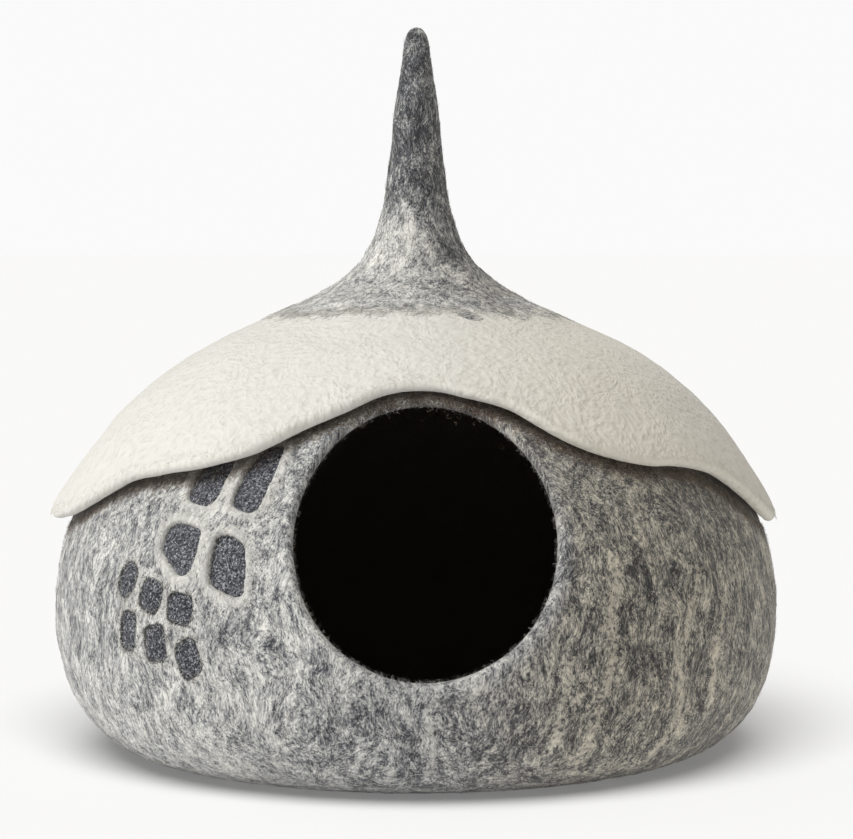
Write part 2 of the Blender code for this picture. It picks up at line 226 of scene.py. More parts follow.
def hem_height(azimuth: Array) -> Array:
    """Height of the hem, smooth through its stations all the way round.

    Args:
        azimuth: Azimuths in radians.

    Returns:
        The heights in metres.
    """
    knots = np.array(HEM_STATIONS, float)
    thrice = [knots + np.array([shift, 0.0]) for shift in (-360.0, 0.0, 360.0)]
    place, height = np.concatenate(thrice).T
    degrees = np.degrees(azimuth)
    after = np.searchsorted(place, degrees, side="right")
    a, b, c, d = (after + shift for shift in (-2, -1, 0, 1))
    span = place[c] - place[b]
    t = (degrees - place[b]) / span
    slope_b = (height[c] - height[a]) / (place[c] - place[a]) * span
    slope_c = (height[d] - height[b]) / (place[d] - place[b]) * span
    return hermite(t, height[b], slope_b, height[c], slope_c)


def turned(azimuth: Array, radius: Array, height: Array) -> Array:
    """Points at these azimuths, radii and heights, as an array of x, y and z."""
    azimuth, radius, height = np.broadcast_arrays(azimuth, radius, height)
    return np.stack([radius * np.sin(azimuth), -radius * np.cos(azimuth), height], axis=-1)


def unit(vectors: Array) -> Array:
    """The vectors at length 1."""
    return vectors / np.maximum(np.linalg.norm(vectors, axis=-1, keepdims=True), 1e-12)


def swelling(share: Array) -> Array:
    """Height of the felt that swells beside an inlay, from 0 to 1.

    Args:
        share: Distance from the inlay's outline as a share of the swelling's width.

    Returns:
        The heights, a quarter at the outline and none at a share of 1.
    """
    hill = np.sin(math.pi * np.clip(share, 0.0, 1.0) ** SWELL_SHAPE)
    return SWELL_AT_OUTLINE * np.clip(1 - share, 0.0, 1.0) + (1 - SWELL_AT_OUTLINE) * hill


class Lumps(NamedTuple):
    """One size of soft lump in the felt."""

    size: float
    height: float
    shift: float


def lumpiness(points: Array, layers: Sequence[Lumps]) -> Array:
    """How far the felt's soft lumps raise each point.

    Args:
        points: Points in space.
        layers: The sizes of lump to add up.

    Returns:
        One height in metres for each point.
    """
    flat = points.reshape(-1, 3)
    total = np.zeros(len(flat))
    for layer in layers:
        places = ((flat + layer.shift) / layer.size).tolist()
        total += layer.height * np.array([noise.noise(place) for place in places])
    return total.reshape(points.shape[:-1])


class Section:
    """A half section of a felt face, read by its arc length."""

    def __init__(self, rows: Array) -> None:
        """Measures the section.

        Args:
            rows: Rows of radius and height along it.
        """
        self.radius, self.height = rows.T
        steps = np.hypot(np.diff(self.radius), np.diff(self.height))
        self.arc = np.concatenate([[0.0], np.cumsum(steps)])
        self.length = float(self.arc[-1])

    def at(self, arc: Array) -> tuple[Array, Array]:
        """Radius and height at these arc lengths."""
        return np.interp(arc, self.arc, self.radius), np.interp(arc, self.arc, self.height)

    def arc_at_height(self, height: Array) -> Array:
        """Arc length where the section, which rises or falls all the way, has this height."""
        order = slice(None) if self.height[0] < self.height[-1] else slice(None, None, -1)
        return np.interp(height, self.height[order], self.arc[order])

    def normal(self, arc: Array) -> tuple[Array, Array]:
        """The section's unit normal, which looks out on a section that climbs.

        Args:
            arc: Arc lengths.

        Returns:
            Its radial and its upward part.
        """
        (r0, z0), (r1, z1) = self.at(arc - SECTION_STEP), self.at(arc + SECTION_STEP)
        long = np.maximum(np.hypot(r1 - r0, z1 - z0), 1e-9)
        return (z1 - z0) / long, (r0 - r1) / long


def cheek_rows(count: int = 32) -> Array:
    """The ball below its widest level, which starts flat on the floor.

    Args:
        count: Points on the cheek.

    Returns:
        Rows of radius and height.
    """
    across, upward = CHEEK_FULLNESS
    turn = np.linspace(0.0, math.pi / 2, count, endpoint=False)
    radius = BASE_RADIUS + (BALL_RADIUS - BASE_RADIUS) * np.sin(turn) ** (2 / across)
    height = WIDEST_HEIGHT * (1 - np.cos(turn) ** (2 / upward))
    return np.concatenate([[[0.0, 0.0]], np.stack([radius, height], axis=1)])


BALL = Section(np.concatenate([cheek_rows(), smooth_rows(UPPER_WALL)]))


# ---------------- charcoal inlays


class InlayKind(Enum):
    """The two sorts of charcoal inlay."""

    PANE = "pane"
    PEBBLE = "pebble"


@dataclass(frozen=True)
class Inlay:
    """A charcoal inlay: its outline, in metres across and up the ball from its own middle."""

    name: str
    kind: InlayKind
    azimuth_deg: float
    height: float
    outline: tuple[tuple[float, float], ...]

    def local(self, azimuth: Array, arc: Array) -> Array:
        """Metres across and up the ball from the inlay's middle."""
        across = (azimuth - math.radians(self.azimuth_deg)) * BALL.at(arc)[0]
        return np.stack([across, arc - BALL.arc_at_height(self.height)], axis=-1)

    def place(self, local: Array) -> tuple[Array, Array]:
        """Azimuth and arc length of points given across and up from the inlay's middle."""
        arc = local[..., 1] + BALL.arc_at_height(self.height)
        return math.radians(self.azimuth_deg) + local[..., 0] / BALL.at(arc)[0], arc

    def distance(self, local: Array) -> tuple[Array, Array]:
        """How far points are outside the outline.

        Args:
            local: Points across and up from the inlay's middle.

        Returns:
            The distances, less than 0 inside, and the step from the outline to each point.
        """
        start = np.array(self.outline)
        end = np.roll(start, -1, axis=0)
        side = end - start
        offset = local[:, None] - start
        share = np.clip((offset * side).sum(-1) / (side**2).sum(-1), 0.0, 1.0)
        step = offset - share[..., None] * side
        far = np.linalg.norm(step, axis=-1)
        nearest = far.argmin(axis=1)
        rows = np.arange(len(local))
        level = local[:, 1:2]
        crosses = (start[:, 1] > level) != (end[:, 1] > level)
        rise = np.where(side[:, 1] == 0, 1.0, side[:, 1])
        meets = start[:, 0] + (level - start[:, 1]) * side[:, 0] / rise
        inside = (crosses & (local[:, 0:1] < meets)).sum(axis=1) % 2 == 1
        distance = far[rows, nearest]
        return np.where(inside, -distance, distance), step[rows, nearest]


CORNER_CUTS = (0.17, 0.25)  # share of each side that each round of cutting takes off
PEBBLE_SQUARENESS = 2.5
PEBBLE_SIDES = 24
PEBBLE_WOBBLE = 0.11
PEBBLE_GROWTH = 1.03


def make_pane(
    name: str, azimuth_deg: float, height: float, corners_mm: Sequence[tuple[float, float]]
) -> Inlay:
    """A window pane with rounded corners.

    Args:
        name: Its CAD node.
        azimuth_deg: Azimuth of its middle.
        height: Height of its middle.
        corners_mm: Its corners in millimetres across and up.

    Returns:
        The inlay.
    """
    points = np.array(corners_mm, float) * MM
    for share in CORNER_CUTS:
        after = np.roll(points, -1, axis=0)
        side = share * (after - points)
        points = np.stack([points + side, after - side], axis=1).reshape(-1, 2)
    return Inlay(name, InlayKind.PANE, azimuth_deg, height, tuple(map(tuple, points)))


def make_pebble(
    name: str, azimuth_deg: float, height: float, width_mm: float, length_mm: float, tilt_deg: float
) -> Inlay:
    """A pebble, which is a superellipse that leans to the right by its tilt.

    Args:
        name: Its CAD node.
        azimuth_deg: Azimuth of its middle.
        height: Height of its middle.
        width_mm: Width before it is tilted.
        length_mm: Length before it is tilted.
        tilt_deg: How far it leans.

    Returns:
        The inlay.
    """
    turn = 2 * math.pi * (np.arange(PEBBLE_SIDES) + 0.5) / PEBBLE_SIDES
    power = 2 / PEBBLE_SQUARENESS
    x = np.sign(np.cos(turn)) * np.abs(np.cos(turn)) ** power * width_mm * MM / 2
    y = np.sign(np.sin(turn)) * np.abs(np.sin(turn)) ** power * length_mm * MM / 2
    lean = math.radians(tilt_deg)
    wobble = PEBBLE_GROWTH + PEBBLE_WOBBLE * np.sin(3 * turn + azimuth_deg) * np.cos(turn + 90 * height)
    across = (x * math.cos(lean) + y * math.sin(lean)) * wobble
    up = (y * math.cos(lean) - x * math.sin(lean)) * wobble
    outline = tuple(zip(across.tolist(), up.tolist()))
    return Inlay(name, InlayKind.PEBBLE, azimuth_deg, height, outline)


INLAYS = tuple(
    make_pane(f"window_pane_{number}", azimuth_deg, height, corners_mm)
    for number, azimuth_deg, height, corners_mm in (
        (1, -37.8, 0.1978, ((-17, -12), (-17.5, 10), (-7, 24), (10, 24), (10.5, -8), (5.5, -16))),
        (2, -28.6, 0.2038, ((-14, -22), (-12.5, 6), (-6, 28), (9, 28), (10, 4), (8, -27.5))),
        (3, -39.1, 0.1591, ((-19, -3), (-18, 13), (-8, 18), (14.5, 14), (14, -15), (4, -19))),
        (4, -29.4, 0.1499, ((-14.5, 20.5), (-3, 22), (10.5, 15), (15, -16), (8.5, -19), (-14, -12))),
    )
) + (
    make_pebble("pebble_1", -49.3, 0.1356, 15.5, 22.5, 8),
    make_pebble("pebble_2", -43.4, 0.1279, 19.0, 21.5, 5),
    make_pebble("pebble_3", -37.2, 0.1220, 19.5, 20.5, 0),
    make_pebble("pebble_4", -48.0, 0.1034, 15.0, 24.5, 0),
    make_pebble("pebble_5", -42.0, 0.0978, 18.5, 23.5, -6),
    make_pebble("pebble_6", -35.4, 0.0909, 18.5, 24.0, -22),
)
INLAY_REACH = 60.0 * MM  # further from an inlay's middle than this its distance isn't worked out
FAR = 50.0 * MM  # the distance that stands for far away


def inlay_distances(azimuth: Array, arc: Array) -> tuple[Array, Array]:
    """Distances from the nearest pane and the nearest pebble, less than 0 inside them.

    Args:
        azimuth: Azimuths on the ball.
        arc: Arc lengths on the ball.

    Returns:
        Distances from a pane and from a pebble in metres, FAR at most.
    """
    best = {kind: np.full(len(azimuth), FAR) for kind in InlayKind}
    for inlay in INLAYS:
        local = inlay.local(azimuth, arc)
        near = np.flatnonzero(np.abs(local).max(axis=1) < INLAY_REACH)
        nearest = best[inlay.kind]
        nearest[near] = np.minimum(nearest[near], inlay.distance(local[near])[0])
    return best[InlayKind.PANE], best[InlayKind.PEBBLE]


# ---------------- the two felt faces


def mouth_edge(turn: Array, radius: float) -> tuple[Array, Array]:
    """Azimuth and arc length on a circle round the mouth's middle, seen square from the front.

    Args:
        turn: Angles from +X upwards.
        radius: Radius of the circle.

    Returns:
        Azimuths and arc lengths.
    """
    across = MOUTH_CENTRE[0] + radius * np.cos(turn)
    arc = BALL.arc_at_height(MOUTH_CENTRE[1] + radius * np.sin(turn))
    return np.arcsin(across / BALL.at(arc)[0]), arc


@dataclass(frozen=True)
class BallFace:
    """The outer face of the ball, crown and spire, read by azimuth and arc length."""

    lumps: tuple[Lumps, ...] = (
        Lumps(58 * MM, 1.3 * MM, 0.3),
        Lumps(24 * MM, 0.75 * MM, 1.7),
        Lumps(10 * MM, 0.35 * MM, 2.9),
    )
    settle_height: float = 14.0 * MM  # lumps grow from none at the floor to full at this height
    web_proud: float = 1.5 * MM  # the felt swells between the panes
    web_reach: float = 9.0 * MM
    pebble_swell: float = 0.7 * MM
    pebble_reach: float = 5.0 * MM
    pane_pocket: float = 4.6 * MM
    pane_brow: float = 0.5 * MM  # the pocket starts this far outside the outline
    pane_wall: float = 0.8 * MM  # and is full depth this far inside it
    pebble_pocket: float = 2.0 * MM
    pebble_brow: float = 0.7 * MM
    pebble_wall: float = 0.9 * MM
    slim_radius: float = 0.05  # the lumps shrink where the spire is slimmer than this
    least_lumps: float = 0.3
    bridge: float = 0.15 * MM  # a fibre over a pocket dips no deeper than this

    def plain(self, azimuth: Array, arc: Array) -> tuple[Array, Array]:
        """Points and outward normals before the soft lumps.

        Args:
            azimuth: Azimuths in radians.
            arc: Arc lengths from the base's middle.

        Returns:
            Points and unit normals.
        """
        radius, height = BALL.at(arc)
        out, up = BALL.normal(arc)
        across = radius * np.sin(azimuth) - MOUTH_CENTRE[0]
        away = np.hypot(across, height - MOUTH_CENTRE[1]) - MOUTH_RADIUS
        share = np.clip(away / MOUTH_LIP_REACH, 0.0, 1.0)
        lip = MOUTH_LIP * 0.5 * (1 + np.cos(math.pi * share)) * (np.cos(azimuth) > 0)
        offset = np.where(arc > BASE_RADIUS, unevenness(azimuth, height), 0.0)
        lip = np.where(arc > BASE_RADIUS, lip, 0.0)
        points = turned(azimuth, radius + offset + out * lip, height + up * lip)
        return points, unit(turned(azimuth, out, up))

    def relief(self, azimuth: Array, arc: Array, points: Array) -> Array:
        """How far the felt stands above the plain face: soft lumps, webs and pockets.

        Args:
            azimuth: Azimuths in radians.
            arc: Arc lengths.
            points: The plain points there.

        Returns:
            Heights along the normal.
        """
        flat_azimuth, flat_arc = azimuth.ravel(), arc.ravel()
        pane, pebble = inlay_distances(flat_azimuth, flat_arc)
        settle = smoothstep(0.0, self.settle_height, points[..., 2].ravel())
        settle = np.where(flat_arc > BASE_RADIUS, settle, 0.0)
        thin = np.clip(BALL.at(flat_arc)[0] / self.slim_radius, self.least_lumps, 1.0)
        raised = lumpiness(points, self.lumps).ravel() * settle * thin
        raised += self.web_proud * swelling(pane / self.web_reach)
        raised += self.pebble_swell * swelling(pebble / self.pebble_reach)
        raised -= self.pane_pocket * smoothstep(-self.pane_brow, self.pane_wall, -pane)
        raised -= self.pebble_pocket * smoothstep(-self.pebble_brow, self.pebble_wall, -pebble)
        return raised.reshape(azimuth.shape)

    def point(self, azimuth: Array, arc: Array, above: Array | float = 0.0) -> Array:
        """Points on the finished face.

        Args:
            azimuth: Azimuths in radians.
            arc: Arc lengths.
            above: How far above the face, along its normal.

        Returns:
            Points in space.
        """
        points, normals = self.plain(azimuth, arc)
        raised = self.relief(azimuth, arc, points) + above
        return points + normals * raised[..., None]

    def over(self, azimuth: Array, arc: Array, above: Array | float) -> Array:
        """Points above the face for a fibre, which bridges the pockets instead of dipping in.

        Args:
            azimuth: Azimuths in radians.
            arc: Arc lengths.
            above: How far above the face, along its normal.

        Returns:
            Points in space.
        """
        points, normals = self.plain(azimuth, arc)
        raised = np.maximum(self.relief(azimuth, arc, points), -self.bridge) + above
        return points + normals * raised[..., None]

    def radius(self, arc: Array) -> Array:
        """Distance from the axis."""
        return BALL.at(arc)[0]


class Crease(NamedTuple):
    """A soft crease across the skirt, between two places given by azimuth and height."""

    azimuth_deg: float
    height: float
    to_azimuth_deg: float
    to_height: float
    depth: float
    width: float


@dataclass
class SkirtFace:
    """The outer face of the skirt, from its feathered margin on the crown down to its hem."""

    felt: float = FELT
    feather_radius: float = 0.070  # the margin thins away to nothing over the crown here
    margin_end_radius: float = 0.0965
    margin_steps: int = 9
    gap_steps: int = 160  # places at which the gap to the ball is measured
    join_radius: float = 0.1000
    feather_lift: float = 0.25 * MM
    margin_lift: float = 1.1 * MM  # what the margin gains by its lower end
    clear_of_ball: float = 0.2 * MM
    least_felt: float = 0.05 * MM
    hem_wave: float = 2.2 * MM
    hem_waves: int = 7
    hem_phase: float = 0.6
    lumps_grow: float = 20 * MM  # the lumps grow from none over this much of the margin
    crease_bend: float = 2.0 * MM
    lumps: tuple[Lumps, ...] = (
        Lumps(70 * MM, 1.2 * MM, 5.1),
        Lumps(26 * MM, 0.6 * MM, 6.3),
        Lumps(12 * MM, 0.35 * MM, 7.7),
        Lumps(6.5 * MM, 0.2 * MM, 8.9),
    )
    creases: tuple[Crease, ...] = (
        Crease(-34, 0.285, -46, 0.262, 0.9 * MM, 4 * MM),
        Crease(-30, 0.288, -43, 0.250, 0.8 * MM, 4 * MM),
        Crease(-26, 0.280, -36, 0.252, 0.6 * MM, 3.5 * MM),
    )
    section: Section = field(init=False)
    join_arc: float = field(init=False)

    def __post_init__(self) -> None:
        """Lays the feathered margin on the crown and joins the skirt's own section to it."""
        crown = BALL.height > WIDEST_HEIGHT
        arcs = BALL.arc[crown][::-1]
        inner, outer = (
            float(np.interp(r, BALL.radius[crown][::-1], arcs))
            for r in (self.feather_radius, self.margin_end_radius)
        )
        arc = np.linspace(inner, outer, self.margin_steps)
        share = np.linspace(0.0, 1.0, self.margin_steps)
        radius, height = BALL.at(arc)
        out, up = BALL.normal(arc)
        lift = self.feather_lift + self.margin_lift * share**2
        margin = np.stack([radius + out * lift, height + up * lift], axis=1)
        own = smooth_rows(SKIRT_STATIONS)
        own = own[own[:, 0] > self.join_radius]
        self.section = Section(np.concatenate([margin, own]))
        first = SKIRT_STATIONS[0].radius
        self.join_arc = float(np.interp(first, self.section.radius, self.section.arc))

    def hem_arc(self, azimuth: Array) -> Array:
        """Arc length of the hem at each azimuth."""
        return self.section.arc_at_height(hem_height(azimuth))

    def thickness(self, arc: Array) -> Array:
        """Full felt where the skirt hangs free, less where it lies on the shoulder.

        Args:
            arc: Arc lengths from the margin down.

        Returns:
            The thicknesses in metres.
        """
        table = np.linspace(0.0, self.section.length, self.gap_steps)
        r, z = self.section.at(table)
        gap = np.hypot(BALL.radius[:, None] - r, BALL.height[:, None] - z).min(axis=0)
        to_ball = np.interp(arc.ravel(), table, gap)
        room = np.maximum(to_ball - self.clear_of_ball, self.least_felt)
        return np.minimum(self.felt, room).reshape(arc.shape)

    def plain(self, azimuth: Array, arc: Array) -> tuple[Array, Array]:
        """Points and outward normals of the outer face before its lumps and creases.

        Args:
            azimuth: Azimuths in radians.
            arc: Arc lengths from the margin down.

        Returns:
            Points and unit normals.
        """
        radius, height = self.section.at(arc)
        into, down = self.section.normal(arc)
        share = np.clip((arc - self.join_arc) / (self.hem_arc(azimuth) - self.join_arc), 0, 1)
        ripple = self.hem_wave * share**3 * np.sin(self.hem_waves * azimuth + self.hem_phase)
        offset = unevenness(azimuth, height)
        points = turned(azimuth, radius + offset - into * ripple, height - down * ripple)
        return points, unit(turned(azimuth, -into, -down))

    def relief(self, azimuth: Array, arc: Array, points: Array) -> Array:
        """Heights of the soft lumps and creases, along the normal.

        Args:
            azimuth: Azimuths in radians.
            arc: Arc lengths from the margin down.
            points: The plain points there.

        Returns:
            The heights in metres.
        """
        grown = smoothstep(0.0, self.lumps_grow, arc.ravel())
        raised = lumpiness(points, self.lumps).ravel() * grown
        place = points.reshape(-1, 3)
        for crease in self.creases:
            ends = []
            for degrees, height in (crease[0:2], crease[2:4]):
                at = np.array([math.radians(degrees)])
                ends.append(self.plain(at, self.section.arc_at_height(np.array([height])))[0][0])
            along = ends[1] - ends[0]
            share = np.clip((place - ends[0]) @ along / (along @ along), 0.0, 1.0)
            bend = self.crease_bend * np.sin(3 * math.pi * share)
            away = place - ends[0] - share[:, None] * along
            far = np.abs(np.linalg.norm(away, axis=1) - bend)
            raised -= crease.depth * np.exp(-((far / crease.width) ** 2)) * np.sin(math.pi * share)
        return raised.reshape(azimuth.shape)

    def point(self, azimuth: Array, arc: Array, above: Array | float = 0.0) -> Array:
        """Points on the finished outer face.

        Args:
            azimuth: Azimuths in radians.
            arc: Arc lengths from the margin down.
            above: How far above the face, along its normal.

        Returns:
            Points in space.
        """
        points, normals = self.plain(azimuth, arc)
        raised = self.relief(azimuth, arc, points) + above
        return points + normals * raised[..., None]

    over = point

    def radius(self, arc: Array) -> Array:
        """Distance from the axis."""
        return self.section.at(arc)[0]


# ---------------- where the wool is pale or dark, and where light and shade are painted


@dataclass(frozen=True)
class WoolToneAndPaintedLight:
    """How much paler or darker the grey wool is at each place: mostly painted light on the left and
    painted shade towards the right, as from a key light on the upper left, over the wool's own pale
    neck and dark spire.
    """

    # painted light and shade across the ball, from the lit left to the shaded right
    left: float = 0.0
    low_left: float = 0.08
    middle: float = -0.10
    right: float = -0.145
    right_edge: float = -0.05
    # the spire's dark wool; the neck and the flare are paler on the left and darker on the right,
    # partly painted light and shade
    spire: float = -0.27
    neck: float = 0.19
    neck_right: float = -0.13
    flare: float = 0.12
    flare_right: float = -0.03
    low_height: tuple[float, float] = (0.05, 0.11)
    low_across: tuple[float, float] = (0.05, 0.14)
    right_turn: tuple[float, float] = (-0.25, 0.55)
    crown_height: tuple[float, float] = (0.285, 0.30)
    neck_height: tuple[float, float] = (0.318, 0.340)
    spire_height: tuple[float, float] = (0.356, 0.392)

    def at(self, points: Array) -> Array:
        """Painted light and shade, with the wool's own tone, at each point: 0 is even, and more is
        paler.

        Args:
            points: Points on the felt.

        Returns:
            The shades.
        """
        x, y, z = points.T
        # painted light on the left and painted shade towards the right
        places = (-1.0, -0.62, -0.34, 0.0, 0.45, 0.8, 1.0)
        sides = (self.left, self.left, 0.45 * self.left, self.middle)
        shades = (*sides, self.right, self.right, self.right_edge)
        shade = np.interp(x / BALL_RADIUS, places, shades)
        low = 1 - smoothstep(*self.low_height, z)
        shade += self.low_left * low * smoothstep(*self.low_across, -x)
        turn = x / np.maximum(np.hypot(x, y), 1 * MM)
        rightward = smoothstep(*self.right_turn, turn)
        crown = smoothstep(*self.crown_height, z)
        flare = self.flare + (self.flare_right - self.flare) * rightward
        neck = self.neck + (self.neck_right - self.neck) * rightward
        high = flare + (neck - flare) * smoothstep(*self.neck_height, z)
        spire = smoothstep(*self.spire_height, z)
        high = high + (self.spire - high) * spire
        return shade + (high - shade) * crown


WOOL_TONE_AND_PAINTED_LIGHT = WoolToneAndPaintedLight()
STREAK_STRENGTH = 0.8
STREAK_SPREAD = 3.0  # a streak fades out this many times its width from its middle
PAINTED_WARM_SHADE_ACROSS = (-0.02, 0.14)  # the painted warm shade turns the wool from grey to brownish between these


class Streak(NamedTuple):
    """A thin lock of cream wool felted into the grey, from place to place down the ball."""

    width: float
    places: tuple[tuple[float, float], ...]  # azimuth in degrees and height


STREAKS = (
    Streak(2.6 * MM, ((30.5, 0.150), (29.0, 0.118), (29.5, 0.090), (27.5, 0.060), (26.5, 0.022))),
    Streak(2.3 * MM, ((47.5, 0.142), (42.5, 0.097), (43.8, 0.053), (42.0, 0.020))),
    Streak(1.8 * MM, ((23.0, 0.092), (21.5, 0.058), (21.0, 0.035))),
    Streak(1.6 * MM, ((1.5, 0.066), (2.6, 0.040), (1.6, 0.016))),
    Streak(1.8 * MM, ((53.0, 0.120), (50.5, 0.080), (51.0, 0.050))),
    Streak(1.6 * MM, ((-24.0, 0.070), (-21.0, 0.035))),
    Streak(2.4 * MM, ((118.0, 0.150), (114.0, 0.095), (116.0, 0.040))),
    Streak(2.2 * MM, ((-142.0, 0.120), (-138.0, 0.070), (-139.0, 0.025))),
)


def streaks(azimuth: Array, height: Array) -> Array:
    """How much of each point is cream streak, from 0 to 1.

    Args:
        azimuth: Azimuths in radians.
        height: Heights in metres.

    Returns:
        The shares.
    """
    best = np.zeros_like(azimuth)
    here = np.stack([azimuth * BALL_RADIUS, height], axis=1)
    for streak in STREAKS:
        knots = np.array([(math.radians(a) * BALL_RADIUS, z) for a, z in streak.places])
        for start, end in zip(knots[:-1], knots[1:]):
            side = end - start
            along = np.clip((here - start) @ side / (side @ side), 0.0, 1.0)
            away = np.linalg.norm(here - start - along[:, None] * side, axis=1)
            close = np.clip(1 - away / (STREAK_SPREAD * streak.width), 0.0, 1.0)
            best = np.maximum(best, STREAK_STRENGTH * close)
    return best


def painted_warm_shade(points: Array) -> Array:
    """How much painted warm shade browns the wool at each point, from 0 on the left to 1 on the right.
    """
    return smoothstep(*PAINTED_WARM_SHADE_ACROSS, points[:, 0])


# ---------------- meshes


@dataclass
class MeshData:
    """Points, faces and per-point values of one mesh while it is put together."""

    points: list[Array] = field(default_factory=list)
    faces: list[tuple[int, ...]] = field(default_factory=list)
    values: dict[str, list[Array]] = field(default_factory=dict)
    count: int = 0

    def add(self, points: Array, faces: Sequence[Sequence[int]], **values: Array | float) -> int:
        """Adds points, with faces that count from the first of them.

        Args:
            points: The points.
            faces: The faces.
            **values: One value for each point, or one for all, under each attribute's name.

        Returns:
            The number of the first point.
        """
        first = self.count
        points = points.reshape(-1, 3)
        self.points.append(points)
        self.faces += [tuple(v + first for v in face) for face in faces]
        for name, value in values.items():
            filled = np.array(np.broadcast_to(value, (len(points), *np.shape(value)[1:])), float)
            self.values.setdefault(name, []).append(filled)
        self.count += len(points)
        return first

    def to_object(self, name: str, mend: bool = True) -> Piece:
        """Makes the mesh and links its object.

        Args:
            name: Name of the piece.
            mend: Whether to turn all the faces outwards.

        Returns:
            The object.
        """
        mesh = bpy.data.meshes.new(name)
        mesh.from_pydata(np.concatenate(self.points).tolist(), [], self.faces)
        for key, parts in self.values.items():
            filled = np.concatenate(parts)
            kind = "FLOAT" if filled.ndim == 1 else "FLOAT_VECTOR"
            layer = mesh.attributes.new(key, kind, "POINT")
            slot_name = "value" if kind == "FLOAT" else "vector"
            layer.data.foreach_set(slot_name, filled.astype(np.float32).ravel())
        if mend:
            bm = bmesh.new()
            bm.from_mesh(mesh)
            loose = [v for v in bm.verts if not v.link_faces]
            bmesh.ops.delete(bm, geom=loose, context="VERTS")
            bmesh.ops.recalc_face_normals(bm, faces=bm.faces)
            bm.to_mesh(mesh)
            bm.free()
        mesh.shade_smooth()
        obj = bpy.data.objects.new(name, mesh)
        bpy.context.scene.collection.objects.link(obj)
        return obj


def dress(
    piece: Piece, material: Material, node: str | None = None
) -> Piece:
    """Gives a piece its material and slot, and lets it ride on the cave's one body.

    Args:
        piece: The piece.
        material: Its material.
        node: The CAD node that it stands for.

    Returns:
        The piece.
    """
    piece.data.materials.clear()
    piece.data.materials.append(material)
    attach(piece, BODY)
    if node:
        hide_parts(node)
    triangles = sum(len(p.vertices) - 2 for p in piece.data.polygons)
    log.info("%s: %d triangles", piece.name, triangles)
    return piece


class Lattice(NamedTuple):
    """Columns and rows over a face, bent round the mouth."""

    azimuth: Array
    arc: Array
    faces: list[tuple[int, ...]]
    edge: list[int]


@dataclass(frozen=True)
class MouthLattice:
    """A lattice over the ball with the mouth left out, its lines bent round the mouth's edge.

    The mouth takes 2 x half columns and rows out of the lattice.
    """

    column_stops: tuple[tuple[int, float], ...]  # column, counted from the front, and its azimuth
    row_stops: tuple[tuple[int, float], ...]  # row, and its arc length
    mouth_row: int
    half: int
    edge_radius: float
    reach: float = 1.55  # the bending dies out this many times half away

    def straight(self, column: Array, row: Array) -> tuple[Array, Array]:
        """Places on the lattice before the bending.

        Args:
            column: Columns, counted from the front.
            row: Rows, counted from the base's middle.

        Returns:
            Azimuths and arc lengths.
        """
        columns, azimuths = np.array(self.column_stops, float).T
        rows, arcs = np.array(self.row_stops, float).T
        azimuth = np.sign(column) * np.radians(np.interp(np.abs(column), columns, azimuths))
        return azimuth, np.interp(row, rows, arcs)

    def build(self) -> Lattice:
        """Lays the lattice out.

        Returns:
            Its azimuths and arc lengths, its faces, and the points round the mouth in order.
        """
        side = int(self.column_stops[-1][0])
        rows = int(self.row_stops[-1][0])
        column, row = np.meshgrid(np.arange(-side, side), np.arange(rows + 1))
        across = column / self.half
        up = (row - self.mouth_row) / self.half
        away = np.maximum(np.abs(across), np.abs(up))
        azimuth, arc = self.straight(column, row)
        bent = (away < self.reach) & (away > 1 - 1e-6)
        outward = self.reach / np.maximum(away, 1e-6)
        far_azimuth, far_arc = self.straight(
            column * outward, self.mouth_row + (row - self.mouth_row) * outward
        )
        level = np.where(np.abs(across) >= np.abs(up), up, across)
        safe = np.where(away > 0, away, 1.0)
        sideways = np.where(across > 0, 0.0, math.pi) + math.pi / 4 * level / safe * np.sign(across)
        upwards = np.sign(up) * (math.pi / 2 - math.pi / 4 * level / safe)
        turn = np.where(np.abs(across) >= np.abs(up), sideways, upwards)
        near_azimuth, near_arc = mouth_edge(turn, self.edge_radius)
        share = np.clip((away - 1) / (self.reach - 1), 0.0, 1.0)
        azimuth = np.where(bent, near_azimuth + (far_azimuth - near_azimuth) * share, azimuth)
        arc = np.where(bent, near_arc + (far_arc - near_arc) * share, arc)
        number = np.arange(row.size).reshape(row.shape)
        number[0], number[-1] = number[0, 0], number[-1, 0]
        open_ = away < 1 - 1e-6
        faces = []
        for i in range(rows):
            for j in range(2 * side):
                k = (j + 1) % (2 * side)
                if open_[i, j] or open_[i, k] or open_[i + 1, j] or open_[i + 1, k]:
                    continue
                ring = (number[i, j], number[i, k], number[i + 1, k], number[i + 1, j])
                faces.append(tuple(dict.fromkeys(int(v) for v in ring)))
        walk = np.arange(-self.half, self.half)
        corners = [(self.half, w) for w in walk]
        corners += [(-w, self.half) for w in walk]
        corners += [(-self.half, -w) for w in walk]
        corners += [(w, -self.half) for w in walk]
        edge = [int(number[self.mouth_row + b, side + a]) for a, b in corners]
        return Lattice(azimuth.ravel(), arc.ravel(), faces, edge)


FINER_WITHIN = (10.0 * MM, 2.6 * MM)  # of an inlay's outline, once and then once more


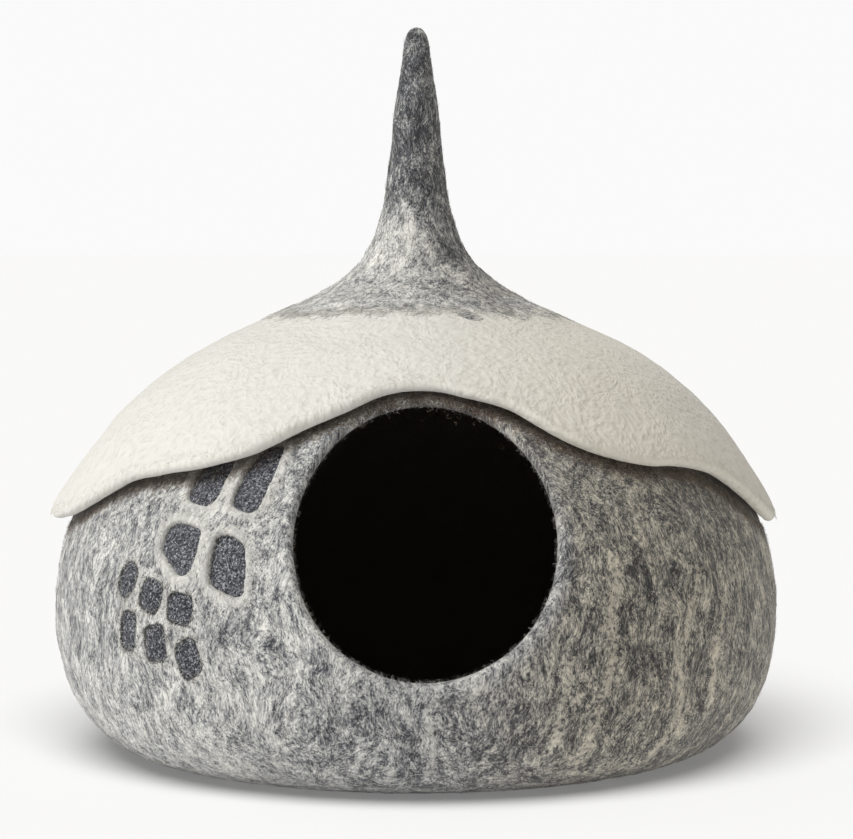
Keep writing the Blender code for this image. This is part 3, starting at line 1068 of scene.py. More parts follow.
def refine(lattice: Lattice) -> Lattice:
    """Makes the lattice finer round the inlays, and finest along their edges.

    Args:
        lattice: The lattice.

    Returns:
        The finer lattice, whose old points keep their numbers.
    """
    across = lattice.azimuth * BALL_RADIUS
    flat = np.stack([across, lattice.arc, np.zeros_like(lattice.arc)], axis=1)
    mesh = bpy.data.meshes.new("lattice")
    mesh.from_pydata(flat.tolist(), [], lattice.faces)
    bm = bmesh.new()
    bm.from_mesh(mesh)
    for reach in FINER_WITHIN:
        bm.faces.ensure_lookup_table()
        middle = np.array([face.calc_center_median()[:2] for face in bm.faces])
        pane, pebble = inlay_distances(middle[:, 0] / BALL_RADIUS, middle[:, 1])
        near = np.minimum(np.abs(pane), np.abs(pebble)) < reach
        edges = {edge for i in np.flatnonzero(near) for edge in bm.faces[i].edges}
        ordered = sorted(edges, key=lambda edge: edge.index)
        bmesh.ops.subdivide_edges(bm, edges=ordered, cuts=1, use_grid_fill=True)
        bm.verts.index_update()
        bm.edges.index_update()
    places = np.array([v.co[:2] for v in bm.verts])
    faces = [tuple(v.index for v in face.verts) for face in bm.faces]
    bm.free()
    bpy.data.meshes.remove(mesh)
    return Lattice(places[:, 0] / BALL_RADIUS, places[:, 1], faces, lattice.edge)


def snap_to_outlines(azimuth: Array, arc: Array, within: float) -> tuple[Array, Array]:
    """Moves the points that nearly lie on an inlay's outline onto it, so that it shows crisp.

    Args:
        azimuth: Azimuths of the points.
        arc: Their arc lengths.
        within: How near counts.

    Returns:
        The new azimuths and arc lengths.
    """
    azimuth, arc = azimuth.copy(), arc.copy()
    for inlay in INLAYS:
        local = inlay.local(azimuth, arc)
        near = np.flatnonzero(np.abs(local).max(axis=1) < INLAY_REACH)
        distance, step = inlay.distance(local[near])
        close = np.abs(distance) < within
        azimuth[near[close]], arc[near[close]] = inlay.place((local[near] - step)[close])
    return azimuth, arc


# ---------------- materials


def linear(code: str) -> tuple[float, float, float, float]:
    """A colour given as sRGB hex, in linear light with full alpha.

    Args:
        code: The colour as "#rrggbb".

    Returns:
        Red, green, blue and alpha.
    """
    channels = (int(code[i : i + 2], 16) / 255 for i in (1, 3, 5))
    return (*(c / 12.92 if c <= 0.04045 else ((c + 0.055) / 1.055) ** 2.4 for c in channels), 1.0)


def add_node(
    tree: Tree, kind: str, inputs: dict[Any, Any] | None = None, **settings: Any
) -> bpy.types.Node:
    """Adds a node with its settings, values and links.

    Args:
        tree: The node tree.
        kind: The node's type name, without its first word.
        inputs: A value or an output socket for each input, by name or number.
        **settings: The node's own properties.

    Returns:
        The node.
    """
    node = tree.nodes.new(f"ShaderNode{kind}")
    for name, value in settings.items():
        setattr(node, name, value)
    for key, value in (inputs or {}).items():
        if isinstance(value, Socket):
            tree.links.new(value, node.inputs[key])
        else:
            node.inputs[key].default_value = value
    return node


def set_stops(node: bpy.types.Node, stops: Sequence[tuple[float, str]]) -> Socket:
    """Sets a colour ramp's stops.

    Args:
        node: The colour ramp.
        stops: Places from 0 to 1, each with its hex colour.

    Returns:
        The ramp's colour output.
    """
    elements = node.color_ramp.elements
    while len(elements) < len(stops):
        elements.new(1.0)
    for element, (place, tone) in zip(elements, stops):
        element.position = place
        element.color = linear(tone)
    return node.outputs["Color"]


def new_tree(name: str) -> tuple[Material, Tree]:
    """Makes a material with an empty node tree.

    Args:
        name: The material's name.

    Returns:
        The material and its node tree.
    """
    material = bpy.data.materials.new(name)
    material.use_nodes = True
    material.node_tree.nodes.clear()
    return material, material.node_tree


@dataclass(frozen=True)
class WoolShader:
    """The shader of all the wool: a matt fibre surface with a faint halo at grazing angles."""

    roughness: float = 0.92
    ior: float = 1.54  # keratin
    specular: float = 0.18
    sheen: float = 0.22
    sheen_roughness: float = 0.45
    brown: str = "#fff6ea"  # the brown that the painted warm shade multiplies into the wool

    def finish(self, tree: Tree, colour: Socket, height: Socket, bump_depth: float) -> None:
        """Ends a tree with the wool shader.

        Args:
            tree: The material's node tree.
            colour: The colour's socket.
            height: The bump's height, from 0 to 1.
            bump_depth: How deep a height of 1 is, in metres.
        """
        # painted warm shade, stronger towards the right
        warm = add_node(tree, "Attribute", attribute_name="warm").outputs["Fac"]
        colour = add_node(
            tree, "Mix", {"Factor": warm, 6: colour, 7: linear(self.brown)}, data_type="RGBA",
            blend_type="MULTIPLY",
        ).outputs[2]
        bump = add_node(tree, "Bump", {"Height": height, "Distance": bump_depth, "Strength": 1.0})
        shader = add_node(
            tree,
            "BsdfPrincipled",
            {
                "Base Color": colour, "Roughness": self.roughness, "IOR": self.ior,
                "Specular IOR Level": self.specular, "Sheen Weight": self.sheen,
                "Sheen Roughness": self.sheen_roughness, "Normal": bump.outputs["Normal"],
            },
        )
        add_node(tree, "OutputMaterial", {"Surface": shader.outputs["BSDF"]})


class WoolTone(NamedTuple):
    """What a wool pattern gives a material: its colour, its height and its coordinates."""

    colour: Socket
    height: Socket
    flow: Socket
    position: Socket


class Strands(NamedTuple):
    """One layer of the wool's pattern."""

    width_mm: float
    length_mm: float
    weight: float
    detail: float
    thin: bool  # thin single fibres, where the others are soft clumps


@dataclass(frozen=True)
class GreyWool:
    """Carded grey wool: dark and pale fibres laid mostly up and down the ball and felted wet.

    The eye sees fine pale and dark flecks a few millimetres long, with tufts and soft patches
    behind them, and single fibres that wander across.
    """

    stops: tuple[tuple[float, str], ...] = (
        (0.0, "#37383c"),
        (0.25, "#5f6064"),
        (0.50, "#a0a09f"),
        (0.75, "#cfcec9"),
        (1.0, "#e8e6df"),
    )
    layers: tuple[Strands, ...] = (
        Strands(1.3, 3.1, 0.74, 3.5, False),
        Strands(3.8, 9.0, 0.58, 2.5, False),
        Strands(11.0, 24.0, 0.56, 2.0, False),
        Strands(2.0, 5.5, 0.22, 1.5, True),
        Strands(2.5, 6.5, -0.27, 1.5, True),
    )
    contrast: float = 0.26  # what the pattern's sum strays from its middle, dark to pale
    swirl_mm: float = 40.0
    swirl_by: float = 24.0 * MM
    layer_shift: tuple[float, float, float] = (0.31, 0.17, 0.0)  # keeps the layers apart
    roughness: float = 0.66
    distortion: float = 0.35
    thin_line: float = 0.042  # a thin fibre lies where the noise is this near its middle

    def tone(self, tree: Tree) -> WoolTone:
        """Adds the pattern to a tree.

        Args:
            tree: The material's node tree.

        Returns:
            Its colour, height and coordinates.
        """
        position = add_node(tree, "TexCoord").outputs["Object"]
        flow = add_node(tree, "Attribute", attribute_name="flow").outputs["Vector"]
        swirl = add_node(
            tree, "TexNoise",
            {"Vector": position, "Scale": 1 / (self.swirl_mm * MM), "Detail": 1.5},
        )
        centred = add_node(
            tree, "VectorMath", {0: swirl.outputs["Color"], 1: (0.5, 0.5, 0.5)},
            operation="SUBTRACT",
        )
        moved = add_node(
            tree, "VectorMath", {0: centred.outputs[0], 1: (self.swirl_by,) * 3, 2: flow},
            operation="MULTIPLY_ADD",
        ).outputs[0]
        # the per-point tone that the pattern is added to, painted light and shade included
        total = add_node(tree, "Attribute", attribute_name="shade").outputs["Fac"]
        middle = 0.0
        for number, layer in enumerate(self.layers):
            stretched = add_node(
                tree,
                "Mapping",
                {
                    "Vector": moved,
                    "Location": tuple(shift * number for shift in self.layer_shift),
                    "Scale": (1.0, 1.0, layer.width_mm / layer.length_mm),
                },
            ).outputs[0]
            value = add_node(
                tree,
                "TexNoise",
                {
                    "Vector": stretched, "Scale": 1 / (layer.width_mm * MM), "Detail": layer.detail,
                    "Roughness": self.roughness, "Distortion": self.distortion,
                },
            ).outputs["Fac"]
            if layer.thin:
                away = add_node(tree, "Math", {0: value, 1: 0.5}, operation="SUBTRACT").outputs[0]
                away = add_node(tree, "Math", {0: away}, operation="ABSOLUTE").outputs[0]
                value = add_node(
                    tree, "MapRange", {"Value": away, "From Min": self.thin_line, "From Max": 0.0}
                ).outputs[0]
            if number == 0:
                fleck = value
            weight = layer.weight
            if not layer.thin:
                weight /= 2 * self.contrast
                middle += weight * 0.5
            total = add_node(
                tree, "Math", {0: value, 1: weight, 2: total}, operation="MULTIPLY_ADD"
            ).outputs[0]
        share = add_node(tree, "Math", {0: total, 1: 0.5 - middle}, operation="ADD").outputs[0]
        colour = set_stops(add_node(tree, "ValToRGB", {0: share}), self.stops)
        return WoolTone(colour, fleck, moved, position)


@dataclass(frozen=True)
class BallMaterial:
    """Wet-felted grey wool of the ball, with a pale web round the panes, a brown-grey lining and
    painted brown shade under the hem.
    """

    wool: GreyWool = GreyWool()
    web: str = "#d9d7d0"
    # charcoal at the inlays' edges; on the pane pockets' walls it is painted shade
    charcoal: str = "#2b2c30"
    lining: str = "#5a5248"
    # painted shadow under the skirt's hem, brown like the fuzz in that corner
    shaded_hem_corner: str = "#57483a"
    streak: str = "#dbd9d3"
    ragged_mm: float = 3.2  # the size of the tongues in which one wool runs into another
    ragged_edge: float = 0.22
    nap: float = 0.65 * MM
    shader: WoolShader = WoolShader(brown="#fff7e7")

    def build(self) -> Material:
        """Makes the material.

        Returns:
            The material.
        """
        material, tree = new_tree("wet_felted_grey_wool")
        tone = self.wool.tone(tree)
        ragged = add_node(
            tree, "TexNoise",
            {
                "Vector": tone.position, "Scale": 1 / (self.ragged_mm * MM), "Detail": 3.0,
                "Roughness": 0.7,
            },
        ).outputs["Fac"]
        colour = tone.colour
        for name, hexcode, raggedness, most in (
            ("pale", self.web, 2.6, 0.55),
            ("charcoal", self.charcoal, 1.3, 0.95),
            ("shaded_hem_corner", self.shaded_hem_corner, 2.4, 0.72),
            ("streak", self.streak, 3.2, 0.5),
            ("lining", self.lining, 0.5, 1.0),
        ):
            half_way = 0.5 + raggedness / 2
            mask = add_node(tree, "Attribute", attribute_name=name).outputs["Fac"]
            shifted = add_node(
                tree, "Math", {0: ragged, 1: raggedness, 2: mask}, operation="MULTIPLY_ADD"
            ).outputs[0]
            share = add_node(
                tree,
                "MapRange",
                {
                    "Value": shifted, "From Min": half_way - self.ragged_edge,
                    "From Max": half_way + self.ragged_edge, "To Max": most,
                },
                interpolation_type="SMOOTHSTEP",
            ).outputs[0]
            mix = add_node(
                tree, "Mix", {"Factor": share, 6: colour, 7: linear(hexcode)}, data_type="RGBA"
            )
            colour = mix.outputs[2]
        self.shader.finish(tree, colour, tone.height, self.nap)
        return material


@dataclass(frozen=True)
class SkirtMaterial:
    """Wet-felted cream wool: fine, nearly even, with faint dimples. Grey wool runs over its top."""

    wool: GreyWool = GreyWool()
    stops: tuple[tuple[float, str], ...] = (
        (0.0, "#c8c4ba"),
        (0.45, "#dcd9d2"),
        (1.0, "#e6e4de"),
    )
    dimple_mm: tuple[float, float] = (4.6, 8.0)
    dimple_depth: float = 1.8 * MM
    ragged_mm: float = 13.0  # the size of the tongues in which the cream ends
    ragged_reach: float = 56.0 * MM  # how far they reach along the felt
    cream_from: tuple[float, float] = (24.5 * MM, 31.5 * MM)
    shader: WoolShader = WoolShader(sheen=0.3, brown="#fdfaf3")

    def build(self) -> Material:
        """Makes the material.

        Returns:
            The material.
        """
        material, tree = new_tree("wet_felted_cream_wool")
        grey = self.wool.tone(tree)
        width, length = self.dimple_mm
        stretched = add_node(
            tree, "VectorMath", {0: grey.flow, 1: (1.0, 1.0, width / length)}, operation="MULTIPLY"
        ).outputs[0]
        dimple = add_node(
            tree, "TexNoise",
            {"Vector": stretched, "Scale": 1 / (width * MM), "Detail": 1.6, "Roughness": 0.55},
        ).outputs["Fac"]
        # the cream is darker where the dimples sink: painted shade in their hollows
        cream = set_stops(add_node(tree, "ValToRGB", {0: dimple}), self.stops)
        ragged = add_node(
            tree, "TexNoise",
            {
                "Vector": grey.position, "Scale": 1 / (self.ragged_mm * MM), "Detail": 5.0,
                "Roughness": 0.72,
            },
        ).outputs["Fac"]
        margin = add_node(tree, "Attribute", attribute_name="margin").outputs["Fac"]
        shifted = add_node(
            tree, "Math", {0: ragged, 1: self.ragged_reach, 2: margin}, operation="MULTIPLY_ADD"
        ).outputs[0]
        share = add_node(
            tree, "MapRange",
            {"Value": shifted, "From Min": self.cream_from[0], "From Max": self.cream_from[1]},
            interpolation_type="SMOOTHSTEP",
        ).outputs[0]
        mix = add_node(tree, "Mix", {"Factor": share, 6: grey.colour, 7: cream}, data_type="RGBA")
        self.shader.finish(tree, mix.outputs[2], dimple, self.dimple_depth)
        return material


@dataclass(frozen=True)
class CharcoalMaterial:
    """Charcoal prefelt of the inlays: needle-punched wool, speckled with paler fibres."""

    stops: tuple[tuple[float, str], ...] = (
        (0.0, "#141518"),
        (0.40, "#36373c"),
        (0.60, "#64656c"),
        (0.85, "#b4b5bb"),
    )
    name: str = "needled_charcoal_prefelt"
    speckle_mm: float = 1.5
    speckle_spread: tuple[float, float] = (0.28, 0.72)
    nap: float = 0.8 * MM
    shader: WoolShader = WoolShader(sheen=0.15)

    def build(self) -> Material:
        """Makes the material.

        Returns:
            The material.
        """
        material, tree = new_tree(self.name)
        position = add_node(tree, "TexCoord").outputs["Object"]
        speckle = add_node(
            tree,
            "TexNoise",
            {
                "Vector": position, "Scale": 1 / (self.speckle_mm * MM), "Detail": 3.0,
                "Roughness": 0.7, "Distortion": 0.8,
            },
        ).outputs["Fac"]
        low, high = self.speckle_spread
        spread = add_node(
            tree, "MapRange", {"Value": speckle, "From Min": low, "From Max": high}
        ).outputs[0]
        colour = set_stops(add_node(tree, "ValToRGB", {0: spread}), self.stops)
        self.shader.finish(tree, colour, speckle, self.nap)
        return material


@dataclass(frozen=True)
class FibreMaterial:
    """Loose wool fibres, each of one colour between two ends of a range."""

    name: str
    dark: str
    pale: str
    roughness: float = 0.6
    ior: float = 1.54

    def build(self) -> Material:
        """Makes the material.

        Returns:
            The material.
        """
        material, tree = new_tree(self.name)
        tone = add_node(tree, "Attribute", attribute_name="tone").outputs["Fac"]
        stops = ((0.0, self.dark), (1.0, self.pale))
        colour = set_stops(add_node(tree, "ValToRGB", {0: tone}), stops)
        shader = add_node(
            tree, "BsdfPrincipled",
            {"Base Color": colour, "Roughness": self.roughness, "IOR": self.ior},
        )
        add_node(tree, "OutputMaterial", {"Surface": shader.outputs["BSDF"]})
        return material


# ---------------- loose fibres


@dataclass
class Fibres:
    """Many thin fibres as one mesh of tapered three-sided strands."""

    name: str
    material: FibreMaterial
    seed: int
    tip: float = 0.35  # of the root's radius
    mesh: MeshData = field(default_factory=MeshData)
    rng: np.random.Generator = field(init=False)

    def __post_init__(self) -> None:
        """Starts this piece's own row of random numbers."""
        self.rng = np.random.default_rng(self.seed)

    def add(self, lines: Array, normals: Array, radius: Array, tone: Array) -> None:
        """Adds strands along centre lines.

        Args:
            lines: Points of each line, as an array of strands, points and x, y, z.
            normals: A direction out of the felt for each strand.
            radius: Radius of each strand at its root.
            tone: Colour of each strand, from 0, dark, to 1, pale.
        """
        count, points = lines.shape[:2]
        along = unit(np.gradient(lines, axis=1))
        side = unit(np.cross(along, normals[:, None]))
        up = np.cross(side, along)
        taper = radius[:, None] * np.linspace(1.0, self.tip, points)
        rings = []
        for turn in (math.pi / 2, math.pi * 7 / 6, math.pi * 11 / 6):
            out = side * math.cos(turn) + up * math.sin(turn)
            rings.append(lines + out * taper[..., None])
        body = np.stack(rings, axis=2)
        one = []
        for k in range(points - 1):
            for s in range(3):
                a, b = 3 * k + s, 3 * k + (s + 1) % 3
                one.append((a, b, b + 3, a + 3))
        one += [(0, 2, 1), tuple(3 * (points - 1) + s for s in range(3))]
        size = 3 * points
        faces = [tuple(v + size * n for v in face) for n in range(count) for face in one]
        self.mesh.add(body.reshape(-1, 3), faces, tone=np.repeat(tone, size))

    def lie_on(
        self, face: BallFace | SkirtFace, azimuth: Array, arc: Array, heading: Array, length: Array,
        curl: Array, lift: Array, radius: Array, tone: Array, points: int = 5,
    ) -> None:
        """Adds strands that lie on a face and lift off it towards their ends.

        Args:
            face: The face.
            azimuth: Azimuth of each root.
            arc: Arc length of each root.
            heading: Direction of each at its root: 0 up the face, a quarter turn along it.
            length: Length of each.
            curl: How far each turns on its way, in radians.
            lift: How high its end stands.
            radius: Radius of each.
            tone: Colour of each.
            points: Points along each.
        """
        share = np.linspace(0.0, 1.0, points)
        turn = heading[:, None] + curl[:, None] * share
        step = length[:, None] / (points - 1)
        none = np.zeros((len(arc), 1))
        up = (step * np.cos(turn))[:, :-1]
        arcs = arc[:, None] + np.cumsum(np.concatenate([none, up], 1), 1)
        across = (step * np.sin(turn))[:, :-1] / np.maximum(face.radius(arcs[:, :-1]), 3 * MM)
        azimuths = azimuth[:, None] + np.cumsum(np.concatenate([none, across], 1), 1)
        above = radius[:, None] * 0.5 + lift[:, None] * share**1.7
        lines = face.over(azimuths, arcs, above)
        normals = face.plain(azimuths[:, 0], arcs[:, 0])[1]
        self.add(lines, normals, radius, tone)

    def spring_from(
        self, roots: Array, ways: Array, length: Array, curl: float, radius: Array, tone: Array,
        points: int = 7,
    ) -> None:
        """Adds curly strands that stand off the felt.

        Args:
            roots: Where each starts.
            ways: The direction in which each sets off.
            length: Length of each.
            curl: Width of the curls as a share of the length.
            radius: Radius of each.
            tone: Colour of each.
            points: Points along each.
        """
        count = len(roots)
        share = np.linspace(0.0, 1.0, points)
        first = unit(np.cross(ways, self.rng.normal(size=(count, 3))))
        second = np.cross(ways, first)
        turns = self.rng.uniform(0.4, 1.3, count)[:, None] * 2 * math.pi * share
        phase = self.rng.uniform(0, 2 * math.pi, count)[:, None]
        wide = (length * curl)[:, None] * share
        lines = (
            roots[:, None]
            + ways[:, None] * (length[:, None] * share * (1 - 0.35 * share))[..., None]
            + first[:, None] * (wide * np.cos(turns + phase))[..., None]
            + second[:, None] * (wide * np.sin(turns + phase))[..., None]
        )
        self.add(lines, first, radius, tone)

    def build(self) -> Piece:
        """Makes the piece.

        Returns:
            The piece.
        """
        return dress(self.mesh.to_object(self.name, mend=False), self.material.build())


# ---------------- the pieces


@dataclass
class FeltBall:
    """The ball, crown and spire: one hollow piece of felt, open only at the mouth."""

    face: BallFace = field(default_factory=BallFace)
    material: BallMaterial = BallMaterial()
    tip_reach: float = 11.0 * MM
    rim_rows: int = 9
    inner_set_back: float = 7.0 * MM  # the lining's mesh starts this far from the rim
    pane_halo: tuple[float, float] = (0.9 * MM, 12.6 * MM)  # the pale web fades between these
    pebble_halo: tuple[float, float] = (0.0, 9.9 * MM)
    pebble_paleness: float = 0.8
    pane_bleed_and_wall_shade: tuple[float, float] = (-0.1 * MM, 0.9 * MM)  # middle and width of its soft edge, whose charcoal runs down the pocket wall as painted shade
    pebble_bleed: tuple[float, float] = (1.1 * MM, 3.6 * MM)
    shaded_hem_corner: float = 19.0 * MM  # the painted brown shade reaches this far down from the hem
    more_under_hem: float = 10.0 * MM  # and this much further at the front
    front_width: float = 0.45
    hem_shadow: float = 4.0 * MM
    streak_shade: float = 0.08
    rim_painted_light: float = 0.12  # the mouth's rim is paler, but for its top: partly denser felt, partly painted light
    rim_left_painted_shade: float = 1.7  # how much of that its upper left, turned from the light, loses: painted shade
    rim_reach: tuple[float, float] = (5.0 * MM, 15.0 * MM)
    rim_top: tuple[float, float] = (0.075, -0.03)
    rim_left_across: tuple[float, float] = (-0.075, -0.02)
    rim_left_up: tuple[float, float] = (-0.05, 0.02)
    lining_from: tuple[float, float] = (1.75, 2.35)  # radians round the rolled rim
    snap: float = 0.42 * MM

    def lattice(
        self, columns: Sequence[tuple[int, float]], rows: Sequence[int], half: int,
        set_back: float = 0.0,
    ) -> Lattice:
        """A lattice over the ball, with the mouth left out.

        Args:
            columns: Columns, counted from the front, and their azimuths in degrees.
            rows: Rows at the base's middle and edge, at the mouth's bottom and top, at the
                crown's edge, just under the spire's tip and at the tip.
            half: Columns and rows from the mouth's middle to its edge.
            set_back: How far the lattice stays behind the rim's outer edge.

        Returns:
            The lattice.
        """
        low, high, crown = (
            float(BALL.arc_at_height(height))
            for height in (
                MOUTH_CENTRE[1] - MOUTH_RADIUS, MOUTH_CENTRE[1] + MOUTH_RADIUS, CROWN_EDGE_HEIGHT
            )
        )
        arcs = (0.0, BASE_RADIUS, low, high, crown, BALL.length - self.tip_reach, BALL.length)
        edge_radius = MOUTH_RADIUS + FELT / 2 + set_back
        stops = tuple(zip(rows, arcs))
        return MouthLattice(tuple(columns), stops, rows[2] + half, half, edge_radius).build()

    def wall(self, arc: Array) -> Array:
        """Thickness of the felt, which thins up the spire.

        Args:
            arc: Arc lengths.

        Returns:
            The thicknesses in metres.
        """
        thin = SPIRE_WALL_SHARE * np.maximum(BALL.at(arc)[0], SPIRE_TIP_RADIUS)
        low = BALL.at(arc)[1] < CROWN_EDGE_HEIGHT
        return np.where(low, FELT, np.minimum(FELT, thin))

    def masks(
        self, azimuth: Array, arc: Array, points: Array, rolled: float = 0.0
    ) -> dict[str, Array]:
        """Where the pale web, the charcoal and the painted shade under the hem lie, from 0 to 1.

        Args:
            azimuth: Azimuths in radians.
            arc: Arc lengths.
            points: The finished points.
            rolled: How far round the rim the points are, in metres.

        Returns:
            Values for each point by attribute name.
        """
        pane, pebble = inlay_distances(azimuth, arc)
        pale = 1 - smoothstep(*self.pane_halo, pane)
        pale = np.maximum(pale, self.pebble_paleness * (1 - smoothstep(*self.pebble_halo, pebble)))
        charcoal = 0.5 - (pebble - self.pebble_bleed[0]) / self.pebble_bleed[1]
        # on the panes the charcoal covers the pocket walls: painted shade in the recess
        pane_bleed_and_wall_shade = 0.5 - (pane - self.pane_bleed_and_wall_shade[0]) / self.pane_bleed_and_wall_shade[1]
        charcoal = np.clip(np.maximum(charcoal, pane_bleed_and_wall_shade), 0.0, 1.0)
        # painted shade on the ball under the hem, full just below it
        hem = hem_height(azimuth)
        more = self.more_under_hem * np.exp(-((azimuth / self.front_width) ** 2))
        under = smoothstep(hem - self.shaded_hem_corner - more, hem - self.hem_shadow, points[:, 2])
        under = np.where(points[:, 2] < CROWN_EDGE_HEIGHT - 10 * MM, under, 0.0)
        across, up = points[:, 0] - MOUTH_CENTRE[0], points[:, 2] - MOUTH_CENTRE[1]
        streak = streaks(azimuth, points[:, 2])
        # painted light on the rim, and painted shade on its upper left, which turns from the key
        rim = 1 - smoothstep(*self.rim_reach, np.hypot(across, up) - MOUTH_RADIUS)
        rim *= (np.cos(azimuth) > 0) * smoothstep(*self.rim_top, up) * (1 - rolled / (5 * FELT))
        turned_away = 1 - smoothstep(*self.rim_left_across, across)
        turned_away *= smoothstep(*self.rim_left_up, up)
        rim_painted_light = rim * self.rim_painted_light * (1 - self.rim_left_painted_shade * turned_away)
        flow = np.stack([points[:, 0], points[:, 1], arc + rolled], axis=1)
        return {
            "pale": pale, "charcoal": charcoal, "shaded_hem_corner": under, "flow": flow,
            "shade": WOOL_TONE_AND_PAINTED_LIGHT.at(points) + rim_painted_light + self.streak_shade * streak,
            "warm": painted_warm_shade(points) * (1 - rim), "streak": streak,
        }

    def build(self) -> Piece:
        """Builds the outer face, the rolled rim and the lining as one closed mesh, in its wool.

        Returns:
            The piece.
        """
        mesh = MeshData()
        columns = ((0, 0.0), (32, 22.5), (112, 90.0), (172, 180.0))
        lattice = refine(self.lattice(columns, (0, 6, 36, 100, 120, 184, 190), half=32))
        azimuth, arc = snap_to_outlines(lattice.azimuth, lattice.arc, self.snap)
        points = self.face.point(azimuth, arc)
        points[:, 2] = np.maximum(points[:, 2], 0.0)
        mesh.add(points, lattice.faces, lining=0.0, **self.masks(azimuth, arc, points))
        rim = self.add_rim(mesh, lattice, azimuth, arc)
        self.add_lining(mesh, rim)
        piece = mesh.to_object("grey_felt_ball")
        return dress(piece, self.material.build(), "cave_body")

    def add_rim(self, mesh: MeshData, lattice: Lattice, azimuth: Array, arc: Array) -> Array:
        """Rolls the felt over from the outer face to the lining.

        Args:
            mesh: The mesh to add to.
            lattice: The outer face's lattice.
            azimuth: Its azimuths.
            arc: Its arc lengths.

        Returns:
            The numbers of the rim's last row of points.
        """
        around, up = azimuth[lattice.edge], arc[lattice.edge]
        outer, normal = self.face.plain(around, up)
        turn = 2 * math.pi * np.arange(len(lattice.edge)) / len(lattice.edge) - math.pi / 4
        inner_edge = mouth_edge(turn, MOUTH_RADIUS + FELT / 2 - 1 * MM)
        inward = unit(self.face.plain(*inner_edge)[0] - outer)
        count = len(lattice.edge)
        last = np.array(lattice.edge)
        for row in range(1, self.rim_rows + 1):
            roll = math.pi * row / self.rim_rows
            out = FELT / 2 * (math.cos(roll) - 1)
            points = outer + normal * out + inward * FELT / 2 * math.sin(roll)
            lumps = lumpiness(points, self.face.lumps)
            direction = normal * math.cos(roll) + inward * math.sin(roll)
            points = points + direction * (lumps * (1 - row / self.rim_rows))[:, None]
            lining = float(smoothstep(*self.lining_from, np.array(roll)))
            values = self.masks(around, up, points, FELT / 2 * roll)
            first = mesh.add(points, [], lining=lining, **values)
            new = first + np.arange(count)
            for k in range(count):
                n = (k + 1) % count
                mesh.faces.append((int(last[k]), int(last[n]), int(new[n]), int(new[k])))
            last = new
        return last

    def add_lining(self, mesh: MeshData, rim: Array) -> None:
        """Adds the lining and joins it to the rim.

        Args:
            mesh: The mesh to add to.
            rim: The numbers of the rim's last row of points.
        """
        columns = ((0, 0.0), (8, 24.0), (24, 90.0), (42, 180.0))
        rows = (0, 4, 12, 28, 36, 54, 57)
        lattice = self.lattice(columns, rows, 8, self.inner_set_back)
        points, normals = self.face.plain(lattice.azimuth, lattice.arc)
        points = points - normals * self.wall(lattice.arc)[:, None]
        flow = np.stack([points[:, 0], points[:, 1], lattice.arc], axis=1)
        bare = dict.fromkeys(("pale", "charcoal", "shaded_hem_corner", "shade", "warm", "streak"), 0.0)
        first = mesh.add(points, lattice.faces, lining=1.0, flow=flow, **bare)
        inner = [v + first for v in lattice.edge]
        per = len(rim) // len(inner)
        for m, here in enumerate(inner):
            after = inner[(m + 1) % len(inner)]
            outer = [int(rim[(m * per + k) % len(rim)]) for k in range(per + 1)]
            half = per // 2
            mesh.faces += [(here, outer[k], outer[k + 1]) for k in range(half)]
            mesh.faces.append((here, outer[half], after))
            mesh.faces += [(after, outer[k], outer[k + 1]) for k in range(half, per)]


@dataclass
class FeltSkirt:
    """The cream skirt: a ring of felt that hugs the shoulder and ends in a rolled hem."""

    face: SkirtFace = field(default_factory=SkirtFace)
    material: SkirtMaterial = SkirtMaterial()
    columns: int = 480
    outer_rows: int = 96
    under_rows: int = 18
    hem_rows: int = 8
    right_reach: float = 7.0 * MM  # on the right the cream climbs this much further up
    forward_reach: float = 15.0 * MM  # and at the front this much

    def build(self) -> Piece:
        """Builds the skirt as one closed ring, in its wool.

        Returns:
            The piece.
        """
        azimuth = -math.pi + 2 * math.pi * np.arange(self.columns) / self.columns
        roll = self.face.felt / 2
        end = self.face.hem_arc(azimuth) - roll
        rows = []
        for share in np.linspace(0.0, 1.0, self.outer_rows + 1):
            arc = end * share
            rows.append((self.face.point(azimuth, arc), arc, arc))
        points, normals = self.face.plain(azimuth, end)
        lifted = self.face.relief(azimuth, end, points)
        points = points + normals * lifted[:, None]
        thick = self.face.thickness(end)
        further = self.face.plain(azimuth, end + 1 * MM)[0]
        down = unit(further - self.face.plain(azimuth, end)[0])
        for k in range(1, self.hem_rows):
            turn = math.pi * k / self.hem_rows
            reach = roll * math.sin(turn)
            sink = thick / 2 * (1 - math.cos(turn))
            ring = points - normals * sink[:, None] + down * reach
            rows.append((ring, end, end + roll * turn))
        for share in np.linspace(1.0, 0.0, self.under_rows + 1):
            arc = end * share
            thickness = self.face.thickness(arc)
            grown = lifted * share**4 - thickness
            plain, out = self.face.plain(azimuth, arc)
            rows.append((plain + out * grown[:, None], arc, 2 * end - arc + math.pi * roll))
        mesh = MeshData()
        count = self.columns
        for ring, arc, walked in rows:
            flow = np.stack([ring[:, 0], ring[:, 1], walked + 0.5], axis=1)
            margin = arc - self.face.join_arc
            margin = margin + self.forward_reach * np.clip(np.cos(azimuth), 0, 1) ** 2
            margin = margin + self.right_reach * np.clip(np.sin(azimuth), 0, 1) ** 2
            # the skirt's grey margin takes the same painted light and shade, and the painted warm shade
            values = {"shade": WOOL_TONE_AND_PAINTED_LIGHT.at(ring), "warm": painted_warm_shade(ring)}
            mesh.add(ring, [], flow=flow, margin=margin, **values)
        total = len(rows)
        for k in range(total):
            n = (k + 1) % total
            for j in range(count):
                m = (j + 1) % count
                mesh.faces.append((k * count + j, k * count + m, n * count + m, n * count + j))
        piece = mesh.to_object("cream_felt_skirt")
        return dress(piece, self.material.build(), "roof_skirt")


